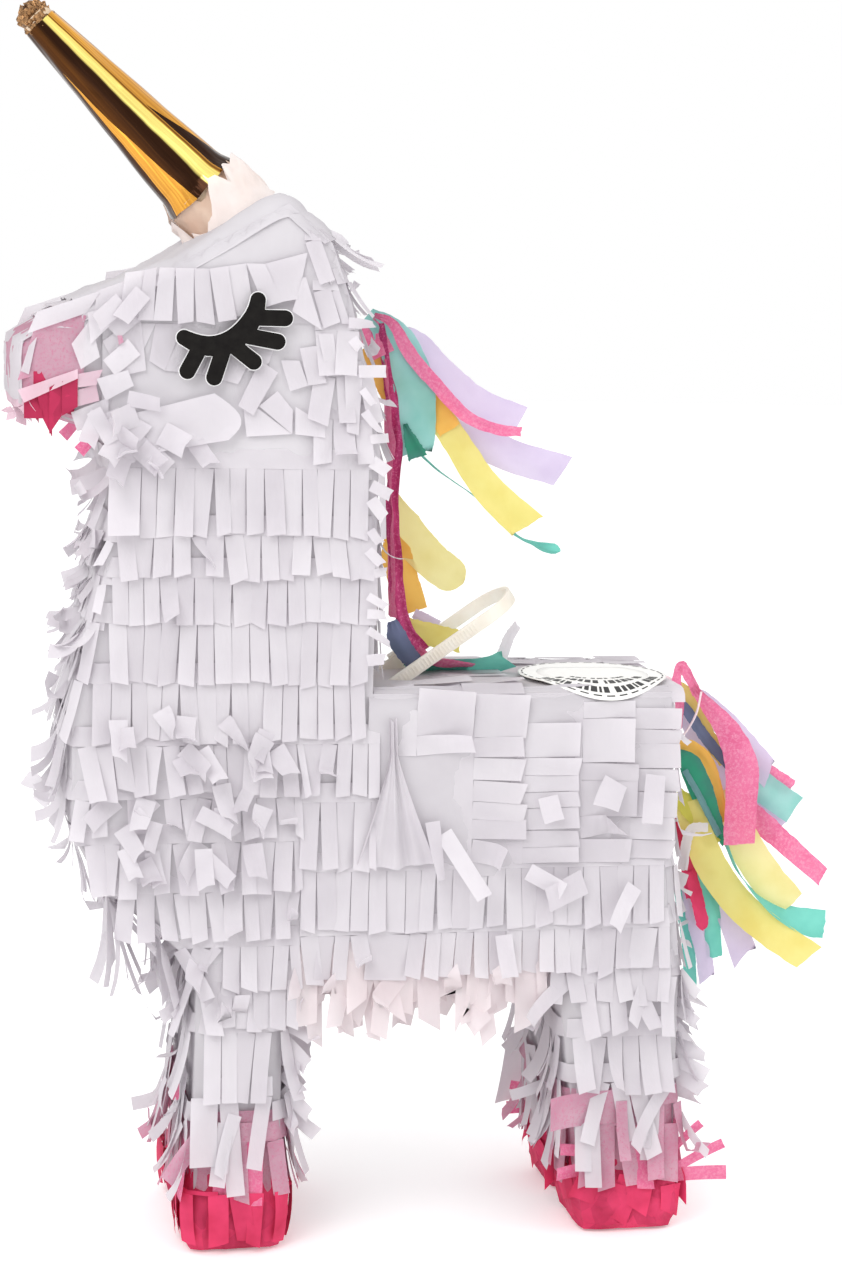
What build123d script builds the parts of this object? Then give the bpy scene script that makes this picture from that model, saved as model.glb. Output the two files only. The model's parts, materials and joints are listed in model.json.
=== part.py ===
"""Small hanging pinata shaped as a unicorn: a cardboard box body under layers of tissue.

Millimetres. The unicorn faces -X, +Z is up, and its left side is -Y. The origin is on the
floor under the middle of the bounding box.
"""
from build123d import *
import math
import os

# driving dimensions
LENGTH = 298.0  # muzzle tissue to tail tips
HEIGHT = 418.0  # floor to horn tip
DEPTH = 76.0  # eye sticker to eye sticker
CARD = 2.0  # corrugated card of the body
TISSUE = 5.0  # layered fringe on the outlines
STICKER = 0.5  # printed paper stickers
SLACK = 0.3  # play round whatever moves
CUT_MARGIN = 0.01  # so a cut goes right through

TISSUE_HALF = DEPTH / 2 - STICKER  # outer face of the side fringe
PANEL_HALF = TISSUE_HALF - 4.5  # outer face of the side panels
STRIP_HALF = PANEL_HALF - CARD  # the strips lie between the side panels

BELLY_Z = 100.0
BACK_Z = 192.5
BACK_TISSUE_Z = 195.0
FRINGE_HEM_Z = 80.0  # body fringe hangs below the belly
NAPE_X = -27.0
RUMP_X = 78.0
MUZZLE_X = TISSUE - LENGTH / 2

# each run of the body outline is one strip of card, muzzle first and clockwise
BROW_RUN = [(-134, 314), (-105, 327), (-58, 354)]
NAPE_RUN = [(-58, 354), (-44, 342), (-37, 322), (-30, 292), (NAPE_X, 275), (NAPE_X, BACK_Z)]
BACK_RUN = [(NAPE_X, BACK_Z), (RUMP_X, BACK_Z)]
RUMP_WAIST = (80, 134)  # where the rump bends outwards
RUMP_RUN = [(RUMP_X, BACK_Z), RUMP_WAIST, (84, BELLY_Z)]
BELLY_RUN = [(84, BELLY_Z), (-84, BELLY_Z)]
CHEST_RUN = [(-84, BELLY_Z), (-90, 108), (-116, 129), (-126, 150), (-126, 185), (-121, 205),
             (-115, 240), (-112, 266)]
MUZZLE_RUN = [(-112, 266), (-117, 281), (-128, 284), (MUZZLE_X, 289), (MUZZLE_X, 308), (-134, 314)]
RUNS = {"brow": BROW_RUN, "nape": NAPE_RUN, "back": BACK_RUN, "rump": RUMP_RUN,
        "belly": BELLY_RUN, "chest": CHEST_RUN, "muzzle": MUZZLE_RUN}

# legs, as (front x at the belly, rear x at the belly, front x at the sole, rear x at the sole)
LEGS = {"front": (-84.0, -56.0, -84.0, -56.0), "rear": (41.0, 84.0, 55.0, 84.5)}
SOLE_Z = 1.0
LEG_INNER = 10.0  # inner face of each leg, from the middle plane
HOOF_TOP_Z = 24.0
HOOF_FLARE = 4.0
LEG_TISSUE = 4.5

# closed eye, as (x, z): the middle of its lid, and each lash from root to tip
EYE_LID = [(-92.2, 310.8), (-87.7, 308.9), (-83.6, 308.2), (-78.8, 309.1), (-74.7, 311.6), (-71.5, 315.2),
           (-69.2, 319.5), (-68.4, 323.4)]
EYE_LID_END, EYE_LID_SWELL = 2.5, 1.0  # half width at the ends, and what the middle adds
EYE_LASHES = [((-68.6, 317.7), (-59.5, 317.7)), ((-70.8, 311.6), (-61.8, 310.1)), ((-76.0, 308.4), (-69.5, 303.5)),
              ((-79.5, 307.0), (-82.3, 298.2)), ((-87.2, 307.4), (-91.0, 300.1))]
EYE_LASH_WIDTH = 5.2

# fill flap and its round label, on the back
FLAP_X, FLAP_Y = 56.0, -11.0
FLAP_R = 19.5
LABEL_R = 26.0
HINGE_Y = 3.0

# hanging tie
TIE_X, TIE_Z = -17.0, BACK_Z - CARD / 2  # axis that it swings about
TIE_WIDTH, TIE_THICK = 4.8, 1.2
TIE_HALF = 12.0  # middle of the loop to the middle of each strand
TIE_BELOW, TIE_ABOVE = 7.0, 55.0  # loop's reach inside and outside, from the axis
TIE_TILT = 35.0  # above level at rest
CARD_SLOTS = (-23.0, -11.0)  # the strands lean, so each layer has its own slots
TISSUE_SLOTS = (-20.4, -6.8)
TIE_HEAD = (7.0, 4.5, 6.6)
TIE_HEAD_REACH = 11.5  # axis to the middle of the head, along the loop
HEAD_RECESS_X = (-18.0, -2.5)  # dent in the tissue under the head

# horn, along its own axis
HORN_BASE = (-83.0, 359.0)  # x, z where the foil ends
HORN_TIP = (-138.8, HEIGHT - 4.0)
HORN_BASE_R, HORN_TIP_R = 12.4, 5.6
HORN_COLLAR = 2.4  # thickness of the tape round its foot
HORN_ROOT = 22.0  # core's reach below the foil
FOIL = 0.5
CORE_WALL = 1.0

NECK_HEMS = [268, 246, 232, 217, 197, 178]  # tops and hems of the fringe rows
SHOULDER_X = -50.0  # chest fringe ends, body fringe begins
MUZZLE_BACK_X = -118.0
NECK_BACK_X = NAPE_X + TISSUE
HEAD_Z = NECK_HEMS[0]
RIBBON = 1.0  # a ribbon's solid is thicker than its paper
ROOT_SHARE = 0.25  # a gathered ribbon's width at its root
TAIL_PIVOT = (86.8, 190.0)
BINDING_R = 3.0
BINDING_LENGTH = 12.0
MANE_Z = (204.0, 318.0)
MANE_BACKING = 4.0
MANE_HALF = 8.0
FAR = 500.0  # larger than the object


def line_meet(p, p_dir, q, q_dir):
    """Where the line through p along p_dir meets the one through q along q_dir."""
    cross = p_dir[0] * q_dir[1] - p_dir[1] * q_dir[0]
    step = ((q[0] - p[0]) * q_dir[1] - (q[1] - p[1]) * q_dir[0]) / cross
    return (p[0] + p_dir[0] * step, p[1] + p_dir[1] * step)


def inset(points, distance):
    """Moves a closed clockwise outline inwards, corner by mitred corner."""
    moved = []
    for i, here in enumerate(points):
        before = points[i - 1]
        after = points[(i + 1) % len(points)]
        sides = []
        for a, b in ((before, here), (here, after)):
            along = Vector(b[0] - a[0], b[1] - a[1]).normalized()
            sides.append(((a[0] + along.Y * distance, a[1] - along.X * distance), (along.X, along.Y)))
        moved.append(line_meet(*sides[0], *sides[1]))
    return moved


def prism(points, y_from, y_to):
    """Solid of an outline in X and Z, between two Y planes."""
    face = make_face(Plane.XZ * Polyline(*points, close=True))
    return Pos(0, y_to, 0) * extrude(face, y_to - y_from, dir=(0, -1, 0))


def block(x, y, z):
    """Box from three (low, high) pairs."""
    size = [high - low for low, high in (x, y, z)]
    middle = [(high + low) / 2 for low, high in (x, y, z)]
    return Pos(*middle) * Box(*size)


def write(name, shape):
    """One STEP for one node, as a group when it holds separate solids."""
    solids = shape.solids()
    whole = solids[0] if len(solids) == 1 else Compound(children=list(solids))
    export_step(whole, f"parts/{name}.step")


def outline():
    """Closed outline of the body in card, without its legs."""
    points = []
    for run in RUNS.values():
        points += run[:-1]
    return points


def strip(name, inner_points):
    """The card strip along one run, between the side panels."""
    points = outline()
    run = RUNS[name]
    inner = [inner_points[points.index(p)] for p in run]
    return prism(run + inner[::-1], -STRIP_HALF, STRIP_HALF)


def leg_profile(leg, bottom, top, spread=0.0):
    """Outline of a leg between two heights, widened by spread at the front and the rear."""
    front_top, rear_top, front_sole, rear_sole = LEGS[leg]

    def edge(sole_x, top_x, z):
        return sole_x + (top_x - sole_x) * (z - SOLE_Z) / (BELLY_Z - SOLE_Z)

    return [(edge(front_sole, front_top, bottom) - spread, bottom),
            (edge(front_sole, front_top, top) - spread, top),
            (edge(rear_sole, rear_top, top) + spread, top),
            (edge(rear_sole, rear_top, bottom) + spread, bottom)]


def leg_sides(side):
    """Low and high Y of a leg on side -1 (left) or 1 (right)."""
    return sorted((side * LEG_INNER, side * PANEL_HALF))


def side_panel(side):
    """One side of the unicorn, cut from one sheet with both of its legs."""
    y_from, y_to = sorted((side * STRIP_HALF, side * PANEL_HALF))
    panel = prism(outline(), y_from, y_to)
    for leg in LEGS:
        panel += prism(leg_profile(leg, SOLE_Z, BELLY_Z), y_from, y_to)
    return panel


def leg_inner(leg, side):
    """The panel that closes a leg towards the middle."""
    y_from, y_to = sorted((side * LEG_INNER, side * (LEG_INNER + CARD)))
    return prism(leg_profile(leg, SOLE_Z, BELLY_Z), y_from, y_to)


def leg_strip(leg, side):
    """One strip bent round the front, sole and rear of a leg."""
    y_from, y_to = sorted((side * (LEG_INNER + CARD), side * STRIP_HALF))
    outside = prism(leg_profile(leg, SOLE_Z, BELLY_Z), y_from, y_to)
    return outside - prism(leg_profile(leg, SOLE_Z + CARD, BELLY_Z, -CARD), y_from, y_to)


def hoof_wrap(leg, side):
    """Tissue gathered round the foot, wider at its top."""
    foot = leg_profile(leg, SOLE_Z, HOOF_TOP_Z)
    y_from, y_to = leg_sides(side)
    layers = []
    for z, spread in ((0.0, HOOF_FLARE / 2), (HOOF_TOP_Z, HOOF_FLARE)):
        width = foot[3][0] - foot[0][0] + 2 * spread
        depth = y_to - y_from + 2 * spread
        centre = Plane(((foot[0][0] + foot[3][0]) / 2, (y_from + y_to) / 2, z))
        layers.append(centre * Rectangle(width, depth))
    return loft(layers) - prism(foot, y_from, y_to)


def leg_fringe(leg, side):
    """Rows of tissue round a leg, from the hoof up to the hem of the body fringe or the belly."""
    y_from, y_to = leg_sides(side)
    around = prism(leg_profile(leg, HOOF_TOP_Z, BELLY_Z, LEG_TISSUE), y_from - LEG_TISSUE, y_to + LEG_TISSUE)
    around -= prism(leg_profile(leg, HOOF_TOP_Z, BELLY_Z), y_from, y_to)
    return around - block((-FAR, FAR), sorted((side * PANEL_HALF, side * FAR)), (FRINGE_HEM_Z, FAR))


def disc(radius, bottom, top):
    """Round plate at the fill hole."""
    return Pos(FLAP_X, FLAP_Y, (bottom + top) / 2) * Cylinder(radius, top - bottom)


def flap_piece(radius, bottom, top):
    """Disc that ends at the flap's crease."""
    return disc(radius, bottom, top) - block((-FAR, FAR), (HINGE_Y, FAR), (0, FAR))


def flap_opening(bottom, top):
    """The cut that frees the flap, with its play."""
    return disc(FLAP_R + SLACK, bottom, top) - block((-FAR, FAR), (HINGE_Y + SLACK, FAR), (0, FAR))


def tie_slots(x, bottom, top):
    """Two slots that the tie's strands pass through."""
    half = TIE_THICK / 2 + SLACK
    cuts = [block(x, (y - half, y + half), (bottom, top)) for y in (-TIE_HALF, TIE_HALF)]
    return cuts[0] + cuts[1]


def hang_tie():
    """Nylon tie as one closed loop with its square head, leaning over the back."""
    def stadium(half):
        reach = TIE_ABOVE - TIE_HALF
        low = -TIE_BELOW - (half - TIE_HALF)
        sketch = Pos((low + reach) / 2, 0) * Rectangle(reach - low, 2 * half)
        return sketch + Pos(reach, 0) * Circle(half)

    loop = stadium(TIE_HALF + TIE_THICK / 2) - stadium(TIE_HALF - TIE_THICK / 2)
    strap = Pos(0, 0, -TIE_WIDTH / 2) * extrude(loop, TIE_WIDTH)
    head = Pos(TIE_HEAD_REACH, TIE_HALF + (TIE_THICK + TIE_HEAD[1]) / 2, 0) * Box(*TIE_HEAD)
    return Pos(TIE_X, 0, TIE_Z) * Rot(0, -TIE_TILT, 0) * (strap + head)


def horn_cone(radius_change, below, above, fill=0.0):
    """Cone on the horn's axis, from below the foil's base to above it; fill hollows it."""
    base = Vector(HORN_BASE[0], 0, HORN_BASE[1])
    along = Vector(HORN_TIP[0], 0, HORN_TIP[1]) - base
    length = along.length
    slope = (HORN_TIP_R - HORN_BASE_R) / length
    low_r = HORN_BASE_R - slope * below + radius_change
    high_r = HORN_BASE_R + slope * above + radius_change
    plane = Plane(base - along.normalized() * below, z_dir=along)
    cone = plane * Pos(0, 0, (below + above) / 2) * Cone(low_r, high_r, below + above)
    if fill:
        cone -= plane * Pos(0, 0, (below + above) / 2) * Cone(low_r - fill, high_r - fill, below + above)
    return cone


def horn_parts(card):
    """Paper core, gold foil round it and a collar of paper tape at its foot."""
    length = (Vector(HORN_TIP[0], 0, HORN_TIP[1]) - Vector(HORN_BASE[0], 0, HORN_BASE[1])).length
    inside_card = prism(inset(outline(), -CUT_MARGIN), -PANEL_HALF, PANEL_HALF)
    core = horn_cone(-FOIL, HORN_ROOT, length - FOIL, CORE_WALL) - inside_card
    core = core.solids().sort_by(Axis.Z)[-1]
    foil = horn_cone(0.0, 0.0, length) - horn_cone(-FOIL, 0.0, length - FOIL)
    collar = horn_cone(HORN_COLLAR, HORN_ROOT, 0.0) - horn_cone(-FOIL, HORN_ROOT, 0.0) - card
    collar = collar.solids().sort_by(Axis.Z)[-1]
    return core, foil, collar


def eye_sticker(side):
    """Closed eye with five lashes, one flat sticker on the face of the fringe."""
    spine = Spline(*EYE_LID)
    steps = 12
    upper, lower = [], []
    for i in range(steps + 1):
        here = spine.position_at(i / steps)
        half = EYE_LID_END + EYE_LID_SWELL * math.sin(math.pi * i / steps)
        square = spine.tangent_at(i / steps).rotate(Axis.Z, 90) * half
        upper.append(here - square)
        lower.append(here + square)
    shape = make_face(Polyline(*upper, *lower[::-1], close=True))
    for end in (EYE_LID[0], EYE_LID[-1]):
        shape += Pos(*end) * Circle(EYE_LID_END)
    for root, tip in EYE_LASHES:
        start, end = Vector(*root), Vector(*tip)
        along = end - start
        turn = Rot(0, 0, math.degrees(math.atan2(along.Y, along.X)))
        shape += Pos(*((start + end) / 2)) * turn * SlotCenterToCenter(along.length, EYE_LASH_WIDTH)
    upright = Rot(90, 0, 0) * extrude(shape, STICKER)
    return Pos(0, side * TISSUE_HALF + (STICKER if side > 0 else 0), 0) * upright


def ribbon(points, width, y):
    """Flat streamer whose middle line is in X and Z, gathered at its first point."""
    spine = Spline(*[(x, z) for x, z in points])
    steps = 8
    upper, lower = [], []
    for i in range(steps + 1):
        here = spine.position_at(i / steps)
        share = min(1.0, ROOT_SHARE + 2 * i / steps)
        side = spine.tangent_at(i / steps).rotate(Axis.Z, 90) * (width / 2 * share)
        upper.append((here.X + side.X, here.Y + side.Y))
        lower.append((here.X - side.X, here.Y - side.Y))
    return prism(upper + lower[::-1], y - RIBBON / 2, y + RIBBON / 2)


def ribbons(*streamers):
    """Streamers of one colour, as one group."""
    return Compound(children=[solid for s in streamers for solid in ribbon(*s).solids()])


def zone(x=(-FAR, FAR), z=(-FAR, FAR)):
    """Slice of the object between X and Z limits."""
    return block(x, (-FAR, FAR), z)


def card_body():
    """Every card piece of the body and the legs."""
    inner = inset(outline(), CARD)
    for name in ("muzzle", "brow", "nape", "rump", "belly", "chest"):
        write(f"{name}_strip", strip(name, inner))
    low, high = BACK_Z - CARD - SLACK, BACK_Z + SLACK
    write("back_strip", strip("back", inner) - flap_opening(low, high) - tie_slots(CARD_SLOTS, low, high))
    for word, side in (("left", -1), ("right", 1)):
        write(f"{word}_side_panel", side_panel(side))
        for leg in LEGS:
            write(f"{leg}_{word}_leg_inner", leg_inner(leg, side))
            write(f"{leg}_{word}_leg_strip", leg_strip(leg, side))
            write(f"{leg}_{word}_leg_fringe", leg_fringe(leg, side))
            write(f"{leg}_{word}_hoof_wrap", hoof_wrap(leg, side))


def tissue_skin(card):
    """Layers of tissue over the head, neck, chest, back, rump and belly."""
    shell = prism(inset(outline(), -TISSUE), -TISSUE_HALF, TISSUE_HALF) - card
    horn_foot = horn_cone(HORN_COLLAR, HORN_ROOT, 0.0)
    write("muzzle_tissue", shell & zone(x=(-FAR, MUZZLE_BACK_X), z=(HEAD_Z, FAR)))
    write("head_tissue", (shell & zone(x=(MUZZLE_BACK_X, FAR), z=(HEAD_Z, FAR))) - horn_foot)
    for i, (top, hem) in enumerate(zip(NECK_HEMS, NECK_HEMS[1:]), start=1):
        write(f"neck_fringe_{i}", shell & zone(x=(-FAR, NECK_BACK_X), z=(hem, top)))
    chest = shell & zone(x=(-FAR, SHOULDER_X), z=(BELLY_Z, NECK_HEMS[-1]))
    front_leg_x = LEGS["front"][0] - LEG_TISSUE
    for side in (-1, 1):
        y = sorted((side * PANEL_HALF, side * TISSUE_HALF))
        chest += block((front_leg_x, SHOULDER_X), y, (FRINGE_HEM_Z, BELLY_Z))
    write("chest_fringe", chest)


def body_skin():
    """Layers of tissue over the barrel of the body."""
    rear_x = LEGS["rear"][1] + LEG_TISSUE
    rump_edge = [(RUMP_X + TISSUE, BACK_Z), (RUMP_WAIST[0] + TISSUE, RUMP_WAIST[1]), (rear_x, BELLY_Z)]
    flank = [(SHOULDER_X, FRINGE_HEM_Z), (SHOULDER_X, NECK_HEMS[-1]), (NECK_BACK_X, NECK_HEMS[-1]),
             (NECK_BACK_X, BACK_Z)] + rump_edge + [(rear_x, FRINGE_HEM_Z)]
    write("body_fringe_left", prism(flank, -TISSUE_HALF, -PANEL_HALF))
    write("body_fringe_right", prism(flank, PANEL_HALF, TISSUE_HALF))
    write("rump_fringe", prism(RUMP_RUN[::-1] + rump_edge, -PANEL_HALF, PANEL_HALF))
    cover = block((NECK_BACK_X, RUMP_X + TISSUE), (-TISSUE_HALF, TISSUE_HALF), (BACK_Z, BACK_TISSUE_Z))
    cover -= tie_slots(TISSUE_SLOTS, BACK_Z, BACK_TISSUE_Z)
    head_y = (TIE_HALF, TIE_HALF + TIE_THICK + TIE_HEAD[1])
    cover -= block(HEAD_RECESS_X, head_y, (BACK_Z, BACK_TISSUE_Z))
    write("back_tissue", cover - flap_opening(BACK_Z, BACK_TISSUE_Z))
    front_x = LEGS["front"][1] + LEG_TISSUE + 0.5
    rear_x = LEGS["rear"][0] - LEG_TISSUE - 0.5
    write("belly_fringe", block((front_x, rear_x), (-PANEL_HALF, PANEL_HALF), (BELLY_Z - TISSUE, BELLY_Z)))


def fill_door():
    """Card flap in the back, the tissue on it, and the round label cut through by its edge."""
    write("fill_flap", flap_piece(FLAP_R, BACK_Z - CARD, BACK_Z))
    write("flap_tissue", flap_piece(FLAP_R, BACK_Z, BACK_TISSUE_Z))
    label_top = BACK_TISSUE_Z + STICKER
    write("label_disc", flap_piece(FLAP_R, BACK_TISSUE_Z, label_top))
    rim = disc(LABEL_R, BACK_TISSUE_Z, label_top) - flap_opening(BACK_TISSUE_Z, label_top)
    write("label_rim", rim)


def mane():
    """Streamers on the nape and the folded strip of tissue that they are glued to."""
    outside = prism(inset(outline(), -TISSUE), -TISSUE_HALF, TISSUE_HALF)
    low, high = MANE_Z
    inner_edge = [(NECK_BACK_X - 1, low), (NECK_BACK_X - 1, 275), (-26, 292), (-32, high)]
    outer_edge = [(x + 1 + MANE_BACKING, z) for x, z in inner_edge[::-1]]
    write("mane_backing", prism(inner_edge + outer_edge, -MANE_HALF, MANE_HALF) - outside)
    write("mane_upper_lilac", ribbons(([(-12, 314), (6, 303), (29, 288)], 13, -5),
                                      ([(-12, 309), (14, 291), (45, 270)], 13, 3)))
    write("mane_upper_teal", ribbons(([(-12, 308), (-2, 289), (0, 264)], 15, -1),
                                     ([(-12, 300), (14, 262), (42, 241)], 9, 5)))
    write("mane_upper_yellow", ribbons(([(-12, 305), (6, 277), (38, 247)], 13, 1)))
    write("mane_lower_yellow", ribbons(([(-19, 262), (-6, 250), (8, 232)], 16, 15),
                                       ([(-19, 240), (-10, 222), (2, 208)], 13, 18)))
    lying = ((NECK_BACK_X, 26), (-MANE_HALF, MANE_HALF), (BACK_TISSUE_Z, BACK_TISSUE_Z + RIBBON))
    write("mane_lower_teal", block(*lying))


def tail():
    """Streamers bound with thread and hung from the top of the rump."""
    x, z = TAIL_PIVOT
    write("tail_binding", Pos(x, 0, z) * Rot(90, 0, 0) * Cylinder(BINDING_R, BINDING_LENGTH))
    root = (x + 2 * BINDING_R, z - 1)
    tips = zone(x=(-FAR, LENGTH / 2))
    pink = ribbons((([root, (109, 175), (118, 132)], 13, -6)), ([root, (122, 150), (152, 120)], 9, 4))
    write("tail_pink", pink & tips)
    write("tail_lilac", ribbons(([root, (118, 168), (138, 149)], 13, 2),
                                ([root, (105, 130), (108, 86)], 12, 8)))
    write("tail_yellow", ribbons(([root, (106, 132), (134, 93)], 18, -4),
                                 ([root, (113, 140), (138, 100)], 18, -2)))
    write("tail_teal", ribbons(([root, (104, 150), (112, 130)], 13, 0),
                               ([root, (122, 140), (145, 111)], 9, 6)))


def main():
    os.makedirs("parts", exist_ok=True)
    card = prism(outline(), -PANEL_HALF, PANEL_HALF)
    card_body()
    tissue_skin(card)
    body_skin()
    fill_door()
    write("hang_tie", hang_tie())
    core, foil, collar = horn_parts(card)
    write("horn_core", core)
    write("horn_foil", foil)
    write("horn_base_tape", collar)
    write("left_eye_sticker", eye_sticker(-1))
    write("right_eye_sticker", eye_sticker(1))
    mane()
    tail()


main()
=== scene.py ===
"""Looks of the unicorn pinata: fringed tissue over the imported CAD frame.

Pieces are drawn in millimetres on the frame's axes and become metres in Sheets.mesh. The
unicorn faces -X, +Z is up, and its left side, the one that the camera sees, is -Y.
"""
import json
import math
import random

import bpy
from mathutils import Matrix, Vector, noise


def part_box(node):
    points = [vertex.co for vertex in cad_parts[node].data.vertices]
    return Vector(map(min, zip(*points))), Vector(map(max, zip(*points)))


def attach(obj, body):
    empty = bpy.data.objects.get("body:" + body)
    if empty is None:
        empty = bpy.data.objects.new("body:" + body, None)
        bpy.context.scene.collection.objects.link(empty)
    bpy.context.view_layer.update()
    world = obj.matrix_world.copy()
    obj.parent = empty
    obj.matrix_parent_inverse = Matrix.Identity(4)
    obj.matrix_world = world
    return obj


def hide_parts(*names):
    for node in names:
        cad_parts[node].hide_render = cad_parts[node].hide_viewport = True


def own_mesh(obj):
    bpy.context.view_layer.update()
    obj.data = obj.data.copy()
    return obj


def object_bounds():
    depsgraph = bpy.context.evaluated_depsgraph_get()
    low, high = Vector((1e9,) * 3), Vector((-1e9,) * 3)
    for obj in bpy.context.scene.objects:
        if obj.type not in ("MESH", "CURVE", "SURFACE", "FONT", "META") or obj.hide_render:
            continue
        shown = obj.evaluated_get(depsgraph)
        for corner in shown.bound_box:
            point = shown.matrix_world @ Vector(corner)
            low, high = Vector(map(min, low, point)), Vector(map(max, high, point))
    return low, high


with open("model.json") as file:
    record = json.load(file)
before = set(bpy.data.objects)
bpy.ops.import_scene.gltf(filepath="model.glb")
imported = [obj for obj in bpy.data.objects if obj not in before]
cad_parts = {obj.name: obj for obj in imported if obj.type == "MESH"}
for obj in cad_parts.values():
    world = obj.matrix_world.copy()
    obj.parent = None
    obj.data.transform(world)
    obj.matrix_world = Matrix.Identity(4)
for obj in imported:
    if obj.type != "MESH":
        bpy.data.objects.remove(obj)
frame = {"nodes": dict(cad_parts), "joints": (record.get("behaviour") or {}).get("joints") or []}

cad_low, cad_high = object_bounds()

MM = 0.001
X, Y, UP = Vector((1, 0, 0)), Vector((0, 1, 0)), Vector((0, 0, 1))
SIDES = {"left": -1, "right": 1}  # sign of y
LEGS = ("front", "rear")
BEYOND = 200.0  # an x or a length that is past every wall's end
REACH = 9.0  # how far a strip may stand out from the surface
SIDE_LIMIT, SIDE_EASE = 47.0, 2.5  # where strips start to be eased in at the side, and over how much
SLOPE_STEP = 0.6  # height over which a wall's slope is taken
HEADER = 6.5  # uncut edge of a fringe band
CUT_GAP = 0.2  # between two strips of one band
LINING = 0.7  # from the card to the tissue glued on it
SKY, KEY = 1.0, 9.0  # strength of the sky and watts of the main lamp
FOIL_LENGTH = 78.0  # of the horn, which the painted reflection bands of its foil are laid out along


# ---------------------------------------------------------------- the frame, in millimetres

def box(*nodes):
    """Lowest and highest corner of some CAD nodes together."""
    corners = [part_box(n) for n in nodes]
    low = Vector([min(c[0][i] for c in corners) for i in range(3)])
    high = Vector([max(c[1][i] for c in corners) for i in range(3)])
    return low / MM, high / MM


def joint(name):
    """Where a joint is."""
    return Vector(next(j for j in frame["joints"] if j["name"] == name)["pos_m"]) / MM


def slice_edges(node, low=None):
    """Function of height that gives the front and rear x of a CAD node there; it stops at low."""
    mesh = frame["nodes"][node].data
    lines = [[mesh.vertices[i].co / MM for i in e.vertices] for e in mesh.edges]
    bottom, top = box(node)
    lowest = (bottom.z if low is None else low) + 0.3
    known = {}

    def edges(z):
        z = round(min(max(z, lowest), top.z - 3.0), 1) + 0.013
        if z not in known:
            xs = [a.x + (b.x - a.x) * (z - a.z) / (b.z - a.z)
                  for a, b in lines if (a.z - z) * (b.z - z) < 0]
            known[z] = (min(xs), max(xs))
        return known[z]
    return edges


BELLY = box("belly_strip")[0].z
BACK = box("back_strip")[1].z
PANEL = box("left_side_panel")[0].y * -1  # outer face of the side panels
RUMP_X = box("back_tissue")[1].x
NAPE_X = box("back_tissue")[0].x
MUZZLE_BACK = box("muzzle_tissue")[1].x
HEAD_Z = box("head_tissue")[0].z
SHOULDER = box("chest_fringe")[1].x


# ---------------------------------------------------------------- sheets of paper

def placed(name, data):
    """A new object in the scene."""
    made = bpy.data.objects.new(name, data)
    bpy.context.scene.collection.objects.link(made)
    return made


class Sheets:
    """A mesh being made of thin sheets, each a grid of points."""

    def __init__(self):
        self.points = []
        self.faces = []
        self.kinds = []
        self.area = 0.0
        self.run = 0.0

    def cut(self, length, height):
        """Counts a length of tissue of that height, for the flat size of the whole piece."""
        self.area += length * height
        self.run += length

    def grid(self, rows, kind=0, closed=False):
        """Adds one sheet from its rows of points; closed joins each row's ends."""
        start, across = len(self.points), len(rows[0])
        for row in rows:
            self.points += row
        for i in range(len(rows) - 1):
            for j in range(across if closed else across - 1):
                a, b = start + i * across + j, start + i * across + (j + 1) % across
                self.faces.append((a, b, b + across, a + across))
                self.kinds.append(kind)

    def face(self, points, kind=0):
        """Adds one flat face."""
        self.faces.append(tuple(range(len(self.points), len(self.points) + len(points))))
        self.points += points
        self.kinds.append(kind)

    def surface(self, point, down, across, kind=0):
        """Adds the sheet whose points are point(t, u); both run from 0 to 1, t down the sheet."""
        rows = [[point(i / down, j / across) for j in range(across + 1)] for i in range(down + 1)]
        self.grid(rows, kind)

    def turned(self, point, down, around, kind=0):
        """Adds the closed sheet whose points are point(t, angle), and gives back its last ring."""
        angles = full_turn(around)
        rows = [[point(i / down, angle) for angle in angles] for i in range(down + 1)]
        self.grid(rows, kind, closed=True)
        return rows[-1]

    def mesh(self, name, finishes):
        """The mesh of all sheets so far, in metres."""
        mesh = bpy.data.meshes.new(name)
        mesh.from_pydata([tuple(p * MM) for p in self.points], [], self.faces)
        for finish in finishes:
            mesh.materials.append(finish)
        mesh.polygons.foreach_set("material_index", self.kinds)
        return mesh

    def piece(self, name, finishes, body, slot=None, replaces=(), smooth=True):
        """The finished object, riding on its body."""
        mesh = self.mesh(name, finishes)
        mesh.polygons.foreach_set("use_smooth", [smooth] * len(self.faces))
        mesh.update()
        made = placed(name, mesh)
        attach(made, body)
        if replaces:
            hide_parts(*replaces)
        return made


def run_length(points):
    """Length of a run of points."""
    return sum((b - a).length for a, b in zip(points, points[1:]))


def full_turn(count):
    """Angles all the way round."""
    return [2 * math.pi * j / count for j in range(count)]


def polar(radius, angle, z=0.0):
    """Point at a radius and an angle about the Z axis."""
    return Vector((radius * math.cos(angle), radius * math.sin(angle), z))


def wavy(x, y, z):
    """Smooth random height at a place."""
    return noise.noise(Vector((x, y, z)))


def wavy_ring(angle, scale, z):
    """Smooth random height that closes on itself round a ring."""
    return wavy(math.cos(angle) * scale, math.sin(angle) * scale, z)


class Bend:
    """How a strip leaves its surface: angles in degrees, cup in millimetres."""

    def __init__(self, lift=5.0, curl=0.0, lean=0.0, roll=0.0, twist=0.0, fold=0.0, fold_at=0.6, cup=0.3,
                 slant=0.0):
        self.lift, self.curl, self.lean = lift, curl, lean
        self.roll, self.twist = roll, twist
        self.fold, self.fold_at = fold, fold_at
        self.cup, self.slant = cup, slant

    def angle(self, t):
        """Angle off the surface at a share t of the length."""
        fold_share, curl_power = 0.12, 1.6
        folded = self.fold * min(1.0, max(0.0, (t - self.fold_at) / fold_share))
        return math.radians(self.lift + self.curl * t ** curl_power + folded)


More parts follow.
